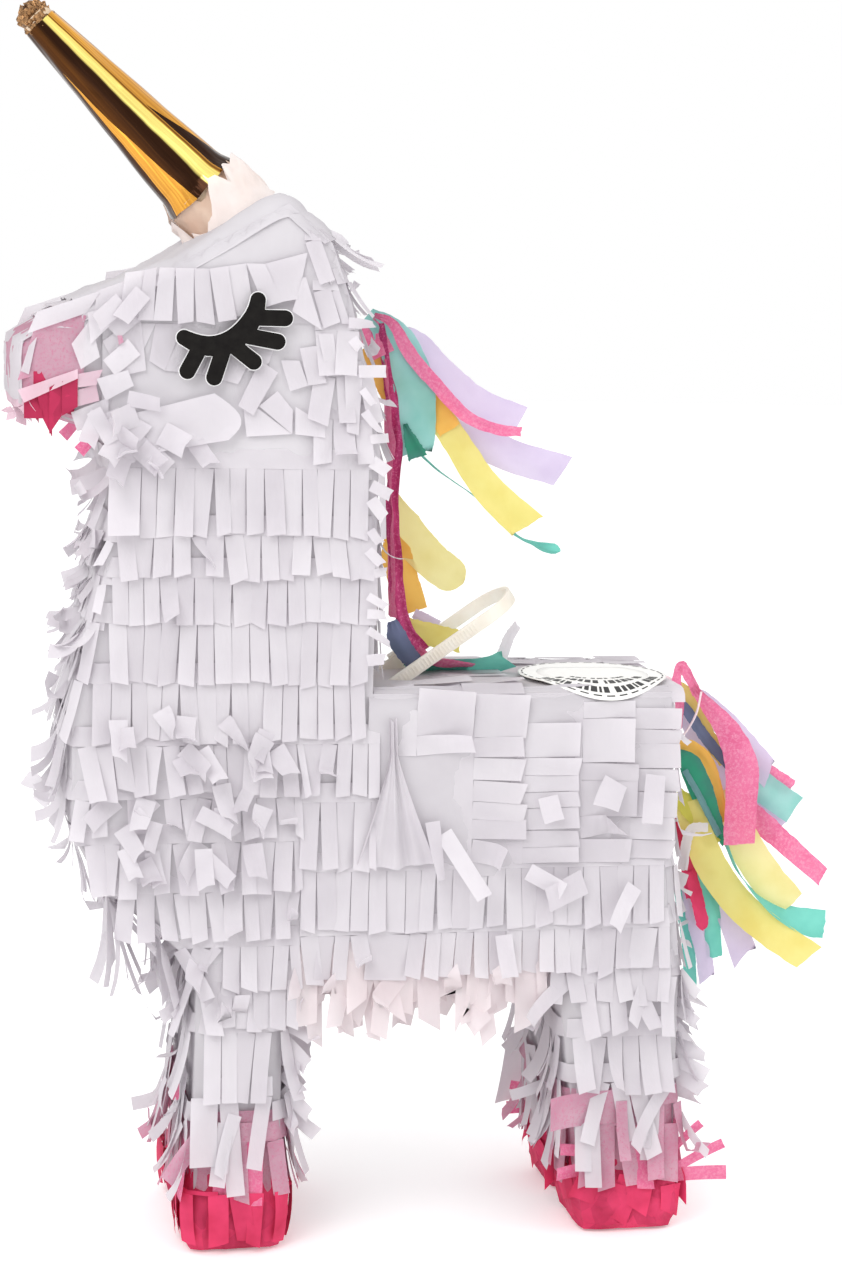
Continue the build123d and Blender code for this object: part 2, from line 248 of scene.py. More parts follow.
def kept_in(point):
    """The point, eased in where it would stand too far out at the side and kept off the floor."""
    y, beyond = point.y, abs(point.y) - SIDE_LIMIT
    if beyond > 0:
        y = math.copysign(SIDE_LIMIT + SIDE_EASE * math.tanh(beyond / SIDE_EASE), y)
    return Vector((point.x, y, max(point.z, LINING)))


def strip(sheets, root, axes, width, length, bend, kind=0, columns=2, steps=6, reach=REACH):
    """One cut strip from its root: axes are its across, down and outward directions."""
    across, down, out = axes
    lean = math.radians(bend.lean)
    heading = down * math.cos(lean) + across * math.sin(lean)
    edge_root = across * math.cos(lean) - down * math.sin(lean)
    angles = [bend.angle((i + 0.5) / steps) for i in range(steps)]
    stands = sum(math.sin(a) for a in angles) * length / steps
    if stands > reach:
        angles = [a * reach / stands for a in angles]
    here = root.copy()
    rows = []
    for i in range(steps + 1):
        t = i / steps
        angle = angles[max(0, i - 1)]
        facing = out * math.cos(angle) - heading * math.sin(angle)
        turn = math.radians(bend.roll + bend.twist * t) * min(1.0, 3 * t)
        edge = edge_root * math.cos(turn) + facing * math.sin(turn)
        row = []
        for j in range(columns + 1):
            u = 2 * j / columns - 1
            point = here + edge * (u * width / 2) + facing * (bend.cup * t * (1 - u * u))
            if i == steps:
                point += (heading * math.cos(angle) + out * math.sin(angle)) * (bend.slant * u)
            row.append(kept_in(point))
        rows.append(row)
        if i < steps:
            along = heading * math.cos(angles[i]) + out * math.sin(angles[i])
            here += along * (length / steps)
    sheets.grid(rows, kind)


# ---------------------------------------------------------------- surfaces that fringe hangs on

class Wall:
    """Upright closed wall. A length s runs round it from the middle of its front, over the left side."""

    def __init__(self, edges, y_low, y_high, corner=4.0, skin=1.2):
        self.edges = edges
        self.middle = (y_low + y_high) / 2
        self.half = (y_high - y_low) / 2
        self.corner = corner
        self.skin = skin

    def sizes(self, z):
        """Front, rear, corner radius and the half width of the flat front at a height."""
        front, rear = self.edges(z)
        corner = min(self.corner, (rear - front) / 2 - 0.1)
        return front, rear, corner, self.half - corner

    def reach(self, z, x):
        """Length s of the left side's point at x."""
        front, rear, corner, flat = self.sizes(z)
        return flat + corner * math.pi / 2 + min(max(x - front - corner, 0), rear - front - 2 * corner)

    def loop(self, z):
        """Length once round."""
        front, rear, corner, flat = self.sizes(z)
        return 2 * (2 * flat + math.pi * corner + rear - front - 2 * corner)

    def station(self, s, z):
        """What stays the same up and down the wall at s: its side, its face and its place on that."""
        front, rear, corner, flat = self.sizes(z)
        loop = self.loop(z)
        s = (s + loop / 2) % loop - loop / 2
        side, left = (-1, s) if s >= 0 else (1, -s)
        arc, width = corner * math.pi / 2, rear - front - 2 * corner
        if left <= flat:
            return side, "front", left
        if left <= flat + arc:
            return side, "front corner", (left - flat) / arc
        if left <= flat + arc + width:
            return side, "side", front + corner + left - flat - arc
        if left <= flat + 2 * arc + width:
            return side, "rear corner", 1 - (left - flat - arc - width) / arc
        return side, "rear", flat - (left - flat - 2 * arc - width)

    def place(self, station, z, off=0.0):
        """Point, across, down and outward directions of a station at a height, off the skin."""
        side, face, at = station
        front, rear, corner, flat = self.sizes(z)
        ahead = -1 if "front" in face else 1
        turn = {"side": 1.0, "front": 0.0, "rear": 0.0}.get(face, at) * math.pi / 2
        if face == "side":
            x = min(max(at, front + corner), rear - corner)
            y = self.half
        else:
            x = (front + corner if ahead < 0 else rear - corner) + ahead * corner * math.cos(turn)
            y = at if face in ("front", "rear") else flat + corner * math.sin(turn)
        above, below = (self.edges(z + step)[ahead > 0] for step in (SLOPE_STEP, -SLOPE_STEP))
        slope = (above - below) / (2 * SLOPE_STEP)
        down = Vector((-slope * math.cos(turn), 0, -1)).normalized()
        out = Vector((ahead * math.cos(turn), side * math.sin(turn), 0))
        out = (out - down * out.dot(down)).normalized()
        point = Vector((x, self.middle + side * y, z)) + out * (self.skin + off)
        return point, out.cross(down), down, out

    def around_front(self, x):
        """Span from x on the left side round the front to x on the right side."""
        return lambda z: (-self.reach(z, x), self.reach(z, x))

    def around_rear(self, x):
        """Span from x on the left side round the rear to x on the right side."""
        return lambda z: (self.reach(z, x), self.loop(z) - self.reach(z, x))

    def on_side(self, side, x_from, x_to):
        """Span along one side between two x."""
        if side < 0:
            return lambda z: (self.reach(z, x_from), self.reach(z, x_to))
        return lambda z: (-self.reach(z, x_to), -self.reach(z, x_from))


class Saddle:
    """The back and both flanks as one surface bent over the back. Heights on it count down
    towards the tail, so its strips point that way; s runs from the middle of the back to the left."""

    def __init__(self, half, top, corner=6.0, skin=1.2):
        self.half, self.top, self.corner, self.skin = half, top, corner, skin
        self.flat = half - corner
        self.arc = corner * math.pi / 2

    def reach(self, z):
        """Length s of the left flank's point at a real height."""
        return self.flat + self.arc + self.top - self.corner - z

    def station(self, s, h):
        """What stays the same along the back at s."""
        return s

    def place(self, s, h, off=0.0):
        """Point, across, down and outward directions at s, where x is -h."""
        side, left = (-1, s) if s >= 0 else (1, -s)
        turn = min(max((left - self.flat) / self.arc, 0.0), 1.0) * math.pi / 2
        y = min(left, self.flat) + self.corner * math.sin(turn)
        z = self.top - self.corner * (1 - math.cos(turn)) - max(left - self.flat - self.arc, 0.0)
        out = Vector((0, side * math.sin(turn), math.cos(turn)))
        down = Vector((1, 0, 0))
        return Vector((-h, side * y, z)) + out * (self.skin + off), out.cross(down), down, out


# ---------------------------------------------------------------- fringe

class Style:
    """How neatly a row of fringe was cut and lies."""

    def __init__(self, widths=(5.0, 6.6), lift=(1, 5), curl=(-2, 9), lean=1.8, roll=3.5, messy=0.08,
                 wild=(30, 90), uncut=0.08, wander=1.8, ragged=0.5, tilt=0.0, kinds=(0,), tips=0.5,
                 reach=REACH):
        self.widths, self.lift, self.curl = widths, lift, curl
        self.lean, self.roll, self.messy, self.wild = lean, roll, messy, wild
        self.uncut, self.wander, self.ragged, self.tilt = uncut, wander, ragged, tilt
        self.kinds, self.tips, self.reach = kinds, tips, reach

    def bend(self, rng):
        """One strip's bend; a messy one curls, leans or folds far more."""
        messy = rng.random() < self.messy
        lift = rng.uniform(*self.lift)
        curl = rng.uniform(*(self.wild if messy else self.curl))
        lean = self.tilt + rng.gauss(0, self.lean * (4 if messy else 1))
        roll = rng.gauss(0, self.roll)
        twist = rng.gauss(0, 28 if messy else 3)
        fold = rng.choice((0, 0, 0, 60, 120)) if messy else 0
        fold_at, slant = rng.uniform(0.35, 0.7), rng.gauss(0, self.tips)
        return Bend(lift, curl, lean, roll, twist, fold, fold_at, rng.uniform(0.1, 0.5), slant)


SLIVER = 1.5  # a band's last strip is no narrower
UNCUT_WIDTHS = (1.6, 2.0, 2.6)  # of strips that stay together, in strips
HEADER_LEVELS = ((0.0, 0.0), (0.5, 0.5), (1.0, 1.1))  # share of its height, and how far it stands out there
NEAT = Style()
LOOSE = Style(lift=(2, 10), curl=(-2, 20), lean=4, roll=6, messy=0.2, uncut=0.05, wander=2.4, ragged=0.9)


def cut_edges(start, end, style, rng):
    """Where a band is cut into strips from start to end; now and then two or more stay together."""
    edges = [start]
    while edges[-1] < end - SLIVER:
        width = rng.uniform(*style.widths)
        if rng.random() < style.uncut:
            width *= rng.choice(UNCUT_WIDTHS)
        edges.append(min(edges[-1] + width, end))
    return edges


def header_band(sheets, surface, edges, top, cut, kind, seed, skip):
    """The uncut header of a band, left out where skip says so."""
    places = []
    for a, b in zip(edges, edges[1:]):
        places += [a, (a + b) / 2]
    places.append(edges[-1])
    stations = [surface.station(s, cut) for s in places]
    levels = []
    for share, off in HEADER_LEVELS:
        z = top + (cut - top) * share
        line = []
        for s, station in zip(places, stations):
            wave = 0.35 * wavy(s / 9, z / 9, seed)
            line.append(surface.place(station, z, off + wave)[0])
        levels.append(line)
    first = None
    keep = [not (skip and skip(p)) for p in levels[1]]
    for i, kept in enumerate(keep + [False]):
        if kept and first is None:
            first = i
        elif not kept and first is not None:
            if i - first > 1:
                sheets.grid([line[first:i] for line in levels], kind)
            first = None


def row(sheets, surface, span, top, hem, style, rng, header=HEADER, skip=None, kind=None):
    """One band of fringe between two heights: its uncut header, then the strips that hang from it."""
    cut = top - header
    seed = rng.uniform(0, 100)
    edges = cut_edges(*span(cut), style, rng)
    header_kind = rng.choice(style.kinds) if kind is None else kind
    header_band(sheets, surface, edges, top, cut, header_kind, seed, skip)
    used = 0.1
    for a, b in zip(edges, edges[1:]):
        middle = (a + b) / 2
        station = surface.station(middle, cut)
        point, across, down, out = surface.place(station, cut, 1.0)
        bend = style.bend(rng)
        wander = style.wander * wavy(middle / 30, seed, hem / 7)
        steep = max(0.45, abs(down.z)) if isinstance(surface, Wall) else 1.0
        length = (cut - hem) / steep + wander + rng.gauss(0, style.ragged * 0.6)
        wide = (b - a) > 1.3 * style.widths[1]
        if wide:
            bend.twist, bend.fold, bend.roll, bend.curl = 0, 0, bend.roll / 2, min(bend.curl, 30)
        if skip and skip(point):
            continue
        used += b - a
        strip(sheets, point, (across, down, out), b - a - CUT_GAP, max(length, 4.0), bend,
              rng.choice(style.kinds) if kind is None else kind, 4 if wide else 2, reach=style.reach)
    sheets.cut(used, abs(top - hem))


def skin(sheets, surface, span, top, bottom, kind=0, off=0.0, step=3.0, crease=0.5, skip=None, seed=0.0):
    """A smooth sheet of tissue glued on a surface between two heights, slightly creased."""
    rows = []
    count = max(2, round(abs(top - bottom) / step))
    across = None
    for i in range(count + 1):
        z = top + (bottom - top) * i / count
        start, end = span(z)
        across = across or max(3, round((end - start) / step))
        line = []
        for j in range(across + 1):
            s = start + (end - start) * j / across
            wave = crease * (wavy(s / 14, z / 17, seed) + 0.5 * wavy(s / 5, z / 6, seed))
            line.append(surface.place(surface.station(s, z), z, off + wave)[0])
        rows.append(line)
    sheets.cut(run_length(rows[count // 2]), run_length([line[across // 2] for line in rows]))
    if not skip:
        sheets.grid(rows, kind)
        return
    start = len(sheets.points)
    for line in rows:
        sheets.points += line
    for i in range(count):
        for j in range(across):
            corners = [rows[i][j], rows[i][j + 1], rows[i + 1][j + 1], rows[i + 1][j]]
            if not any(skip(p) for p in corners):
                a = start + i * (across + 1) + j
                sheets.faces.append((a, a + 1, a + across + 2, a + across + 1))
                sheets.kinds.append(kind)


def scrap(sheets, surface, spot, size, lean, bend, off=3.5, side=-1):
    """One loose cutting stuck on the side of a wall, hanging from a spot (x, z); size is its width
    and length."""
    x, z = spot
    s = surface.reach(z, x) * -side
    point, across, down, out = surface.place(surface.station(s, z), z, off)
    bend.lean = lean * -side
    strip(sheets, point, (across, down, out), *size, bend)
    sheets.cut(*size)


def patch(sheets, side, corners, off, kind=0, wave=0.5, curl=0.0, seed=0.0):
    """One torn or cut piece of tissue lying on a flank: its corners as (x, z), its last edge curled out."""
    a, b, c, d = (Vector((x, 0, z)) for x, z in corners)

    def point(t, u):
        spot = a.lerp(d, t).lerp(b.lerp(c, t), u)
        rough = wave * wavy(spot.x / 7, spot.z / 7, seed)
        return Vector((spot.x, side * (PANEL + off + rough + curl * t * t), spot.z))

    sheets.surface(point, 6, 6, kind)
    sheets.cut(((b - a).length + (c - d).length) / 2, ((d - a).length + (c - b).length) / 2)


def cuttings(sheets, wall, side, rng, places, lift, curl, off, cup, roll=0.0, twist=0.0):
    """Loose cuttings on one side, each given by x, z, width, length and lean; lift and curl are ranges."""
    for x, z, width, length, lean in places:
        bend = Bend(rng.uniform(*lift), rng.uniform(*curl), cup=cup)
        if roll:
            bend.roll = rng.gauss(0, roll)
        if twist:
            bend.twist = rng.gauss(0, twist)
        scrap(sheets, wall, (x, z), (width, length), lean, bend, off, side)


# ---------------------------------------------------------------- finishes

class Finish:
    """A material, and short ways to add its nodes."""

    def __init__(self, name):
        self.material = bpy.data.materials.new(name)
        self.material.use_nodes = True
        self.tree = self.material.node_tree
        self.tree.nodes.clear()

    def node(self, kind, inputs=None, **settings):
        """A shader node. inputs maps a socket to a value or to the socket that feeds it."""
        made = self.tree.nodes.new("ShaderNode" + kind)
        for key, value in settings.items():
            setattr(made, key, value)
        for key, value in (inputs or {}).items():
            if isinstance(value, bpy.types.NodeSocket):
                self.tree.links.new(value, made.inputs[key])
            else:
                made.inputs[key].default_value = value
        return made

    def noise(self, scale, stretch=(1, 1, 1), detail=2.0, rough=0.5):
        """Noise in the piece's own space; scale is in blobs per metre."""
        place = self.node("TexCoord").outputs["Object"]
        mapped = self.node("Mapping", {"Vector": place, "Scale": stretch}).outputs[0]
        inputs = {"Vector": mapped, "Scale": scale, "Detail": detail, "Roughness": rough}
        return self.node("TexNoise", inputs).outputs["Fac"]

    def ramp(self, value, stops, ease="LINEAR"):
        """Colour ramp from (position, colour) stops."""
        made = self.node("ValToRGB", {0: value})
        made.color_ramp.interpolation = ease
        band = made.color_ramp.elements
        while len(band) < len(stops):
            band.new(0.5)
        for element, (position, colour) in zip(band, stops):
            element.position = position
            element.color = (*colour, 1)
        return made.outputs[0]

    def mix(self, share, low, high, how="MIX"):
        """Colour between low and high; either may be a colour or a socket."""
        inputs = {0: share}
        for socket, colour in ((6, low), (7, high)):
            inputs[socket] = colour if isinstance(colour, bpy.types.NodeSocket) else (*colour, 1)
        return self.node("Mix", inputs, data_type="RGBA", blend_type=how).outputs[2]

    def maths(self, how, a, b=0.0):
        """One sum of two values or sockets."""
        return self.node("Math", {0: a, 1: b}, operation=how).outputs[0]

    def bump(self, height, depth, strength=1.0, after=None):
        """Bump whose full height is depth millimetres."""
        inputs = {"Height": height, "Distance": depth * MM, "Strength": strength}
        if after:
            inputs["Normal"] = after
        return self.node("Bump", inputs).outputs[0]

    def end(self, shader):
        """The material, finished with a shader."""
        output = self.node("OutputMaterial")
        self.tree.links.new(shader, output.inputs[0])
        return self.material


def tissue_finish(name, colour, deep, glow=0.3, mottle=None, mottle_share=(0.45, 0.6), crumple=0.0):
    """Tissue paper: fibres, soft creases, a shade per strip, and light through it. Crumple is the
    depth of facets pressed into it, and each facet gets a painted shade as if it caught the light its own
    way."""
    finish = Finish(name)
    clouds = finish.noise(70, detail=3)
    tint = finish.ramp(clouds, [(0.3, deep), (0.62, colour)])
    island = finish.node("NewGeometry").outputs["Random Per Island"]
    shade = finish.ramp(island, [(0.0, (0.93, 0.92, 0.93)), (1.0, (1.03, 1.03, 1.03))])
    tint = finish.mix(1.0, tint, shade, "MULTIPLY")
    fibres = finish.noise(1500, (1, 1, 0.35), detail=2, rough=0.7)
    if mottle:
        speckle = finish.ramp(finish.noise(900, detail=4, rough=0.8),
                              [(mottle_share[0], (0, 0, 0)), (mottle_share[1], (1, 1, 1))])
        tint = finish.mix(speckle, tint, mottle)
    creases = finish.noise(190, (1, 1, 0.5), detail=2)
    normal = finish.bump(creases, 0.5, 0.35)
    if crumple:
        place = finish.node("TexCoord").outputs["Object"]
        facets = finish.node("TexVoronoi", {"Vector": place, "Scale": 150.0}, feature="SMOOTH_F1")
        normal = finish.bump(facets.outputs["Distance"], crumple, 0.8, normal)
        # painted shading: each crumple facet made lighter or darker, as if lit from its own angle
        facet_shading = finish.ramp(finish.node("TexVoronoi", {"Vector": place, "Scale": 150.0}).outputs["Color"],
                            [(0.2, (0.86, 0.84, 0.86)), (0.8, (1.08, 1.08, 1.08))])
        tint = finish.mix(1.0, tint, facet_shading, "MULTIPLY")
    normal = finish.bump(fibres, 0.05, 0.5, normal)
    paper = finish.node("BsdfPrincipled", {"Base Color": tint, "Roughness": 0.72, "Normal": normal,
                                           "Specular IOR Level": 0.25})
    through = finish.node("BsdfTranslucent", {"Color": tint, "Normal": normal})
    both = finish.node("MixShader", {0: glow, 1: paper.outputs[0], 2: through.outputs[0]})
    return finish.end(both.outputs[0])


def painted_foil_reflections(finish):
    """Painted reflections: lengthwise bands of what the foil would mirror, painted as a colour by the
    angle round the horn, with two wedges that widen towards its foot, and painted highlight streaks."""
    parts = finish.node("SeparateXYZ", {0: finish.node("TexCoord").outputs["Object"]})
    angle = finish.maths("ARCTAN2", parts.outputs["Y"], parts.outputs["X"])
    turn = finish.maths("ADD", finish.maths("DIVIDE", angle, 2 * math.pi), 0.5)
    for scale, share in ((26, 0.035), (160, 0.012)):
        wobble = finish.maths("SUBTRACT", finish.noise(scale, (1, 1, 0.6), 2), 0.5)
        turn = finish.maths("ADD", turn, finish.maths("MULTIPLY", wobble, share))
    # painted reflections: the light and dark surroundings that the foil would mirror, as colours
    brown, dark, orange = (0.085, 0.028, 0.004), (0.03, 0.009, 0.002), (0.70, 0.33, 0.05)
    yellow, amber = (1.0, 0.84, 0.24), (0.50, 0.21, 0.02)
    bands = finish.ramp(turn, [(0.0, amber), (0.06, brown), (0.10, brown), (0.115, yellow), (0.19, amber),
                               (0.26, dark), (0.40, brown), (0.46, dark), (0.512, dark), (0.522, yellow),
                               (0.572, yellow), (0.58, amber), (0.588, brown), (0.598, orange),
                               (0.70, orange), (0.74, dark), (0.80, amber), (0.86, yellow), (0.90, brown),
                               (1.0, amber)])
    up = finish.maths("DIVIDE", parts.outputs["Z"], FOIL_LENGTH * MM)
    # painted reflections: wedges of mirrored colour that widen towards the horn's foot
    for start, width, reach, colour in ((0.335, 0.115, 0.75, orange), (0.60, 0.13, 0.42, dark),
                                        (0.13, 0.1, 0.6, orange)):
        widening = finish.maths("MULTIPLY", finish.maths("SUBTRACT", reach, up), width / reach)
        inside = finish.maths("MULTIPLY", finish.maths("GREATER_THAN", turn, start),
                              finish.maths("LESS_THAN", turn, finish.maths("ADD", widening, start)))
        bands = finish.mix(inside, bands, colour)
    # painted highlights: bright and darker streaks multiplied over the mirrored bands
    across = finish.node("CombineXYZ", {0: finish.maths("MULTIPLY", turn, 70),
                                        1: finish.maths("MULTIPLY", up, 1.6)})
    painted_highlight_streaks = finish.node("TexNoise", {"Vector": across.outputs[0], "Scale": 1.0,
                                       "Detail": 3.0}).outputs["Fac"]
    shade = finish.ramp(painted_highlight_streaks, [(0.35, (0.75, 0.68, 0.6)), (0.55, (1.0, 1.0, 1.0)),
                                  (0.72, (1.7, 1.9, 1.6))])
    return finish.mix(0.8, bands, shade, "MULTIPLY")


def foil_finish():
    """Mirror gold foil on the horn, with fine wrinkles and reflections painted into its colour."""
    finish = Finish("gold_foil")
    wrinkle = finish.bump(finish.noise(300, (1, 1, 0.15), 3), 0.6, 0.6)
    wrinkle = finish.bump(finish.noise(90, (1, 1, 0.5), 2), 1.5, 0.5, wrinkle)
    metal = finish.node("BsdfPrincipled", {"Base Color": painted_foil_reflections(finish), "Metallic": 0.85,
                                           "Roughness": 0.14, "Normal": wrinkle})
    return finish.end(metal.outputs[0])


def plain_finish(name, colour, deep, scale=400, rough=0.6, depth=0.06, stretch=(1, 1, 1), extra=None):
    """Opaque material with a little grain: card, paper, vinyl or thread."""
    finish = Finish(name)
    grain = finish.noise(scale, stretch, detail=4, rough=0.6)
    tint = finish.ramp(grain, [(0.3, deep), (0.7, colour)])
    inputs = {"Base Color": tint, "Roughness": rough, "Normal": finish.bump(grain, depth, 0.6)}
    inputs.update(extra or {})
    return finish.end(finish.node("BsdfPrincipled", inputs).outputs[0])


def nylon_finish():
    """Natural nylon of the cable tie: milky, lets light through."""
    finish = Finish("nylon")
    cloud = finish.noise(220, detail=2)
    tint = finish.ramp(cloud, [(0.3, (0.93, 0.89, 0.82)), (0.7, (0.97, 0.95, 0.90))])
    body = finish.node("BsdfPrincipled", {"Base Color": tint, "Roughness": 0.32, "Coat Weight": 0.1,
                                          "Normal": finish.bump(cloud, 0.04, 0.4)})
    through = finish.node("BsdfTranslucent", {"Color": tint})
    both = finish.node("MixShader", {0: 0.52, 1: body.outputs[0], 2: through.outputs[0]})
    return finish.end(both.outputs[0])


WHITE = tissue_finish("white_tissue", (0.735, 0.706, 0.736), (0.695, 0.663, 0.698), 0.32)
GLUED = tissue_finish("glued_tissue", (0.585, 0.563, 0.588), (0.55, 0.525, 0.553), 0.1)
# painted backlight: a brighter, warmer copy of the white tissue, for light coming through the belly fringe
# from behind
PAINTED_BACKLIGHT = tissue_finish("backlit_tissue", (0.90, 0.84, 0.85), (0.86, 0.79, 0.80), 0.5)
COLLAR = tissue_finish("collar_tissue", (0.93, 0.86, 0.83), (0.90, 0.80, 0.75), 0.25)
BLUSH = tissue_finish("blush_tissue", (0.67, 0.42, 0.51), (0.61, 0.31, 0.41), 0.35, (0.66, 0.19, 0.33),
                      (0.50, 0.75))
PALE_PINK = tissue_finish("pale_pink_tissue", (0.80, 0.62, 0.69), (0.76, 0.54, 0.62), 0.35,
                          (0.80, 0.48, 0.58), (0.56, 0.8))
ROSE = tissue_finish("rose_tissue", (0.80, 0.19, 0.35), (0.72, 0.13, 0.28), 0.3, (0.82, 0.36, 0.50),
                     (0.45, 0.75))
HOT = tissue_finish("hot_pink_tissue", (0.76, 0.055, 0.155), (0.56, 0.03, 0.09), 0.2)
HOT_DEEP = tissue_finish("deep_pink_tissue", (0.70, 0.05, 0.14), (0.50, 0.026, 0.085), 0.15, crumple=1.6)
NOSE_PINK = tissue_finish("nose_pink_tissue", (0.48, 0.028, 0.092), (0.30, 0.014, 0.05), 0.12, crumple=1.6)
MAGENTA = tissue_finish("magenta_tissue", (0.50, 0.055, 0.19), (0.36, 0.03, 0.12), 0.2, (0.78, 0.24, 0.42),
                        (0.5, 0.75))
LILAC = tissue_finish("lilac_tissue", (0.66, 0.58, 0.74), (0.60, 0.51, 0.69), 0.35)
TEAL = tissue_finish("teal_tissue", (0.20, 0.62, 0.52), (0.13, 0.50, 0.42), 0.3)
TEAL_SOFT = tissue_finish("soft_teal_tissue", (0.33, 0.62, 0.58), (0.22, 0.54, 0.48), 0.35)
TEAL_GREY = tissue_finish("grey_teal_tissue", (0.16, 0.32, 0.33), (0.12, 0.25, 0.27), 0.3)
GREEN = tissue_finish("deep_teal_tissue", (0.03, 0.30, 0.17), (0.07, 0.16, 0.17), 0.2)
SLATE = tissue_finish("slate_tissue", (0.16, 0.19, 0.31), (0.11, 0.14, 0.22), 0.2)
YELLOW = tissue_finish("yellow_tissue", (0.80, 0.71, 0.24), (0.75, 0.63, 0.17), 0.35)
YELLOW_PALE = tissue_finish("pale_yellow_tissue", (0.83, 0.76, 0.36), (0.78, 0.69, 0.27), 0.4)
ORANGE = tissue_finish("orange_tissue", (0.86, 0.52, 0.12), (0.80, 0.42, 0.08), 0.3)
OLIVE = tissue_finish("olive_tissue", (0.60, 0.56, 0.10), (0.50, 0.46, 0.07), 0.25)
OLIVE_LIGHT = tissue_finish("ochre_tissue", (0.76, 0.62, 0.20), (0.66, 0.52, 0.14), 0.3)
TAPE = tissue_finish("paper_tape", (0.84, 0.66, 0.53), (0.78, 0.55, 0.42), 0.3)
CARD = plain_finish("body_card", (0.42, 0.31, 0.20), (0.33, 0.23, 0.14), 500, 0.85, 0.15, (1, 1, 0.2))
HORN_PAPER = plain_finish("horn_paper", (0.66, 0.52, 0.38), (0.58, 0.44, 0.30), 600, 0.8)
LABEL = plain_finish("label_paper", (0.86, 0.855, 0.83), (0.82, 0.81, 0.78), 700, 0.38, 0.02)
INK = plain_finish("label_ink", (0.035, 0.034, 0.036), (0.015, 0.015, 0.016), 900, 0.5, 0.02)
VINYL = plain_finish("eye_sticker", (0.010, 0.009, 0.008), (0.005, 0.004, 0.004), 300, 0.75, 0.02,
                     extra={"Specular IOR Level": 0.12})
VINYL_EDGE = plain_finish("eye_sticker_edge", (0.90, 0.89, 0.89), (0.85, 0.84, 0.84), 500, 0.5, 0.02)
THREAD = plain_finish("thread", (0.85, 0.74, 0.76), (0.70, 0.52, 0.56), 2500, 0.8, 0.1)
CRUSHED = plain_finish("crushed_foil", (0.55, 0.30, 0.13), (0.02, 0.006, 0.004), 900, 0.28, 0.8,
                       extra={"Metallic": 0.8})
GOLD = foil_finish()
NYLON = nylon_finish()
SLOTS = (("pink_tissue", (ROSE, HOT, MAGENTA)), ("lilac_tissue", (LILAC,)), ("white_tissue", (WHITE,)),
         ("teal_tissue", (TEAL, TEAL_SOFT, TEAL_GREY, GREEN, SLATE)),
         ("yellow_tissue", (YELLOW, YELLOW_PALE, ORANGE, OLIVE, OLIVE_LIGHT)))
SLOT_OF = {finish.name: slot for slot, finishes in SLOTS for finish in finishes}  # of a streamer's finish


# ---------------------------------------------------------------- fringe on the body

trunk = Wall(slice_edges("left_side_panel", BELLY), -PANEL, PANEL, corner=2.4, skin=1.6)
saddle = Saddle(PANEL, BACK, corner=3.0, skin=1.8)
flap_low, flap_high = box("flap_tissue")
FLAP_R = (flap_high.x - flap_low.x) / 2
FLAP = Vector(((flap_low.x + flap_high.x) / 2, flap_low.y + FLAP_R, 0))
LABEL_R = (box("label_rim")[1].x - box("label_rim")[0].x) / 2


def near_label(point):
    """Whether a strip that starts at a point of the back would reach the label."""
    clear, places_ahead = LABEL_R + 1.5, (0, 7, 14, 21)
    ahead = (Vector((point.x + d, point.y, 0)) - FLAP for d in places_ahead)
    return point.z > BACK - 1 and any(off.length < clear for off in ahead)


def in_fill_hole(point):
    """Whether a point of the back lies over the fill flap."""
    off = Vector((point.x, point.y, 0)) - FLAP
    return point.z > BACK - 2 and off.length < FLAP_R + 1.0


def tissue(sheets, name, finishes, nodes, slot="white_tissue",
           smooth=True):
    """The finished piece of tissue on the body, in place of some CAD nodes."""
    made = sheets.piece(name, finishes, "body", slot, nodes, smooth)


def lining():
    """White tissue glued straight on the card, under all the fringe; the back has its own."""
    back_length, sheet_width = 60, 200
    outline = [p for p in outline_loop("left_side_panel", -1) if p.z > BELLY - 0.5]
    for i, p in enumerate(outline):
        ahead = outline[(i + 1) % len(outline)]
        level = abs(p.z - BACK) < 0.6 and abs(ahead.z - BACK) < 0.6
        if level and abs(p.x - ahead.x) > back_length:
            outline = outline[i + 1:] + outline[:i + 1]
            break
    face = grown(outline, LINING)
    flat = sum(a.x * b.z - b.x * a.z for a, b in zip(face, face[1:] + face[:1])) / 2
    sheets = Sheets()
    half = PANEL + LINING
    for side in SIDES.values():
        sheets.face([Vector((p.x, side * half, p.z)) for p in face])
        sheets.cut(sheet_width, abs(flat) / sheet_width)
    sheets.grid([[Vector((p.x, y, p.z)) for p in face] for y in (-half, -half / 3, half / 3, half)])
    sheets.cut(run_length(face), 2 * half)
    tissue(sheets, "tissue_lining", [GLUED], (),
           smooth=False)


def neck_fringe():
    """Five rows of fringe round the neck."""
    ruff = Style(lift=(12, 30), curl=(0, 50), lean=10, roll=14, messy=0.5, ragged=2.5, wander=3, reach=12)
    for i in range(1, 6):
        rng = random.Random(100 + i)
        low, high = box(f"neck_fringe_{i}")
        sheets = Sheets()
        span = whole_loop(trunk, 0) if low.z > BACK else trunk.around_front(NAPE_X)
        row(sheets, trunk, span, high.z + 7, low.z, NEAT if i != 2 else LOOSE, rng)
        if low.z > BACK - 10:
            row(sheets, trunk, trunk.around_front(-BEYOND), high.z + 2, low.z + 4, ruff, rng, header=4)
        tissue(sheets, f"neck_fringe_row_{i}", [WHITE], [f"neck_fringe_{i}"])


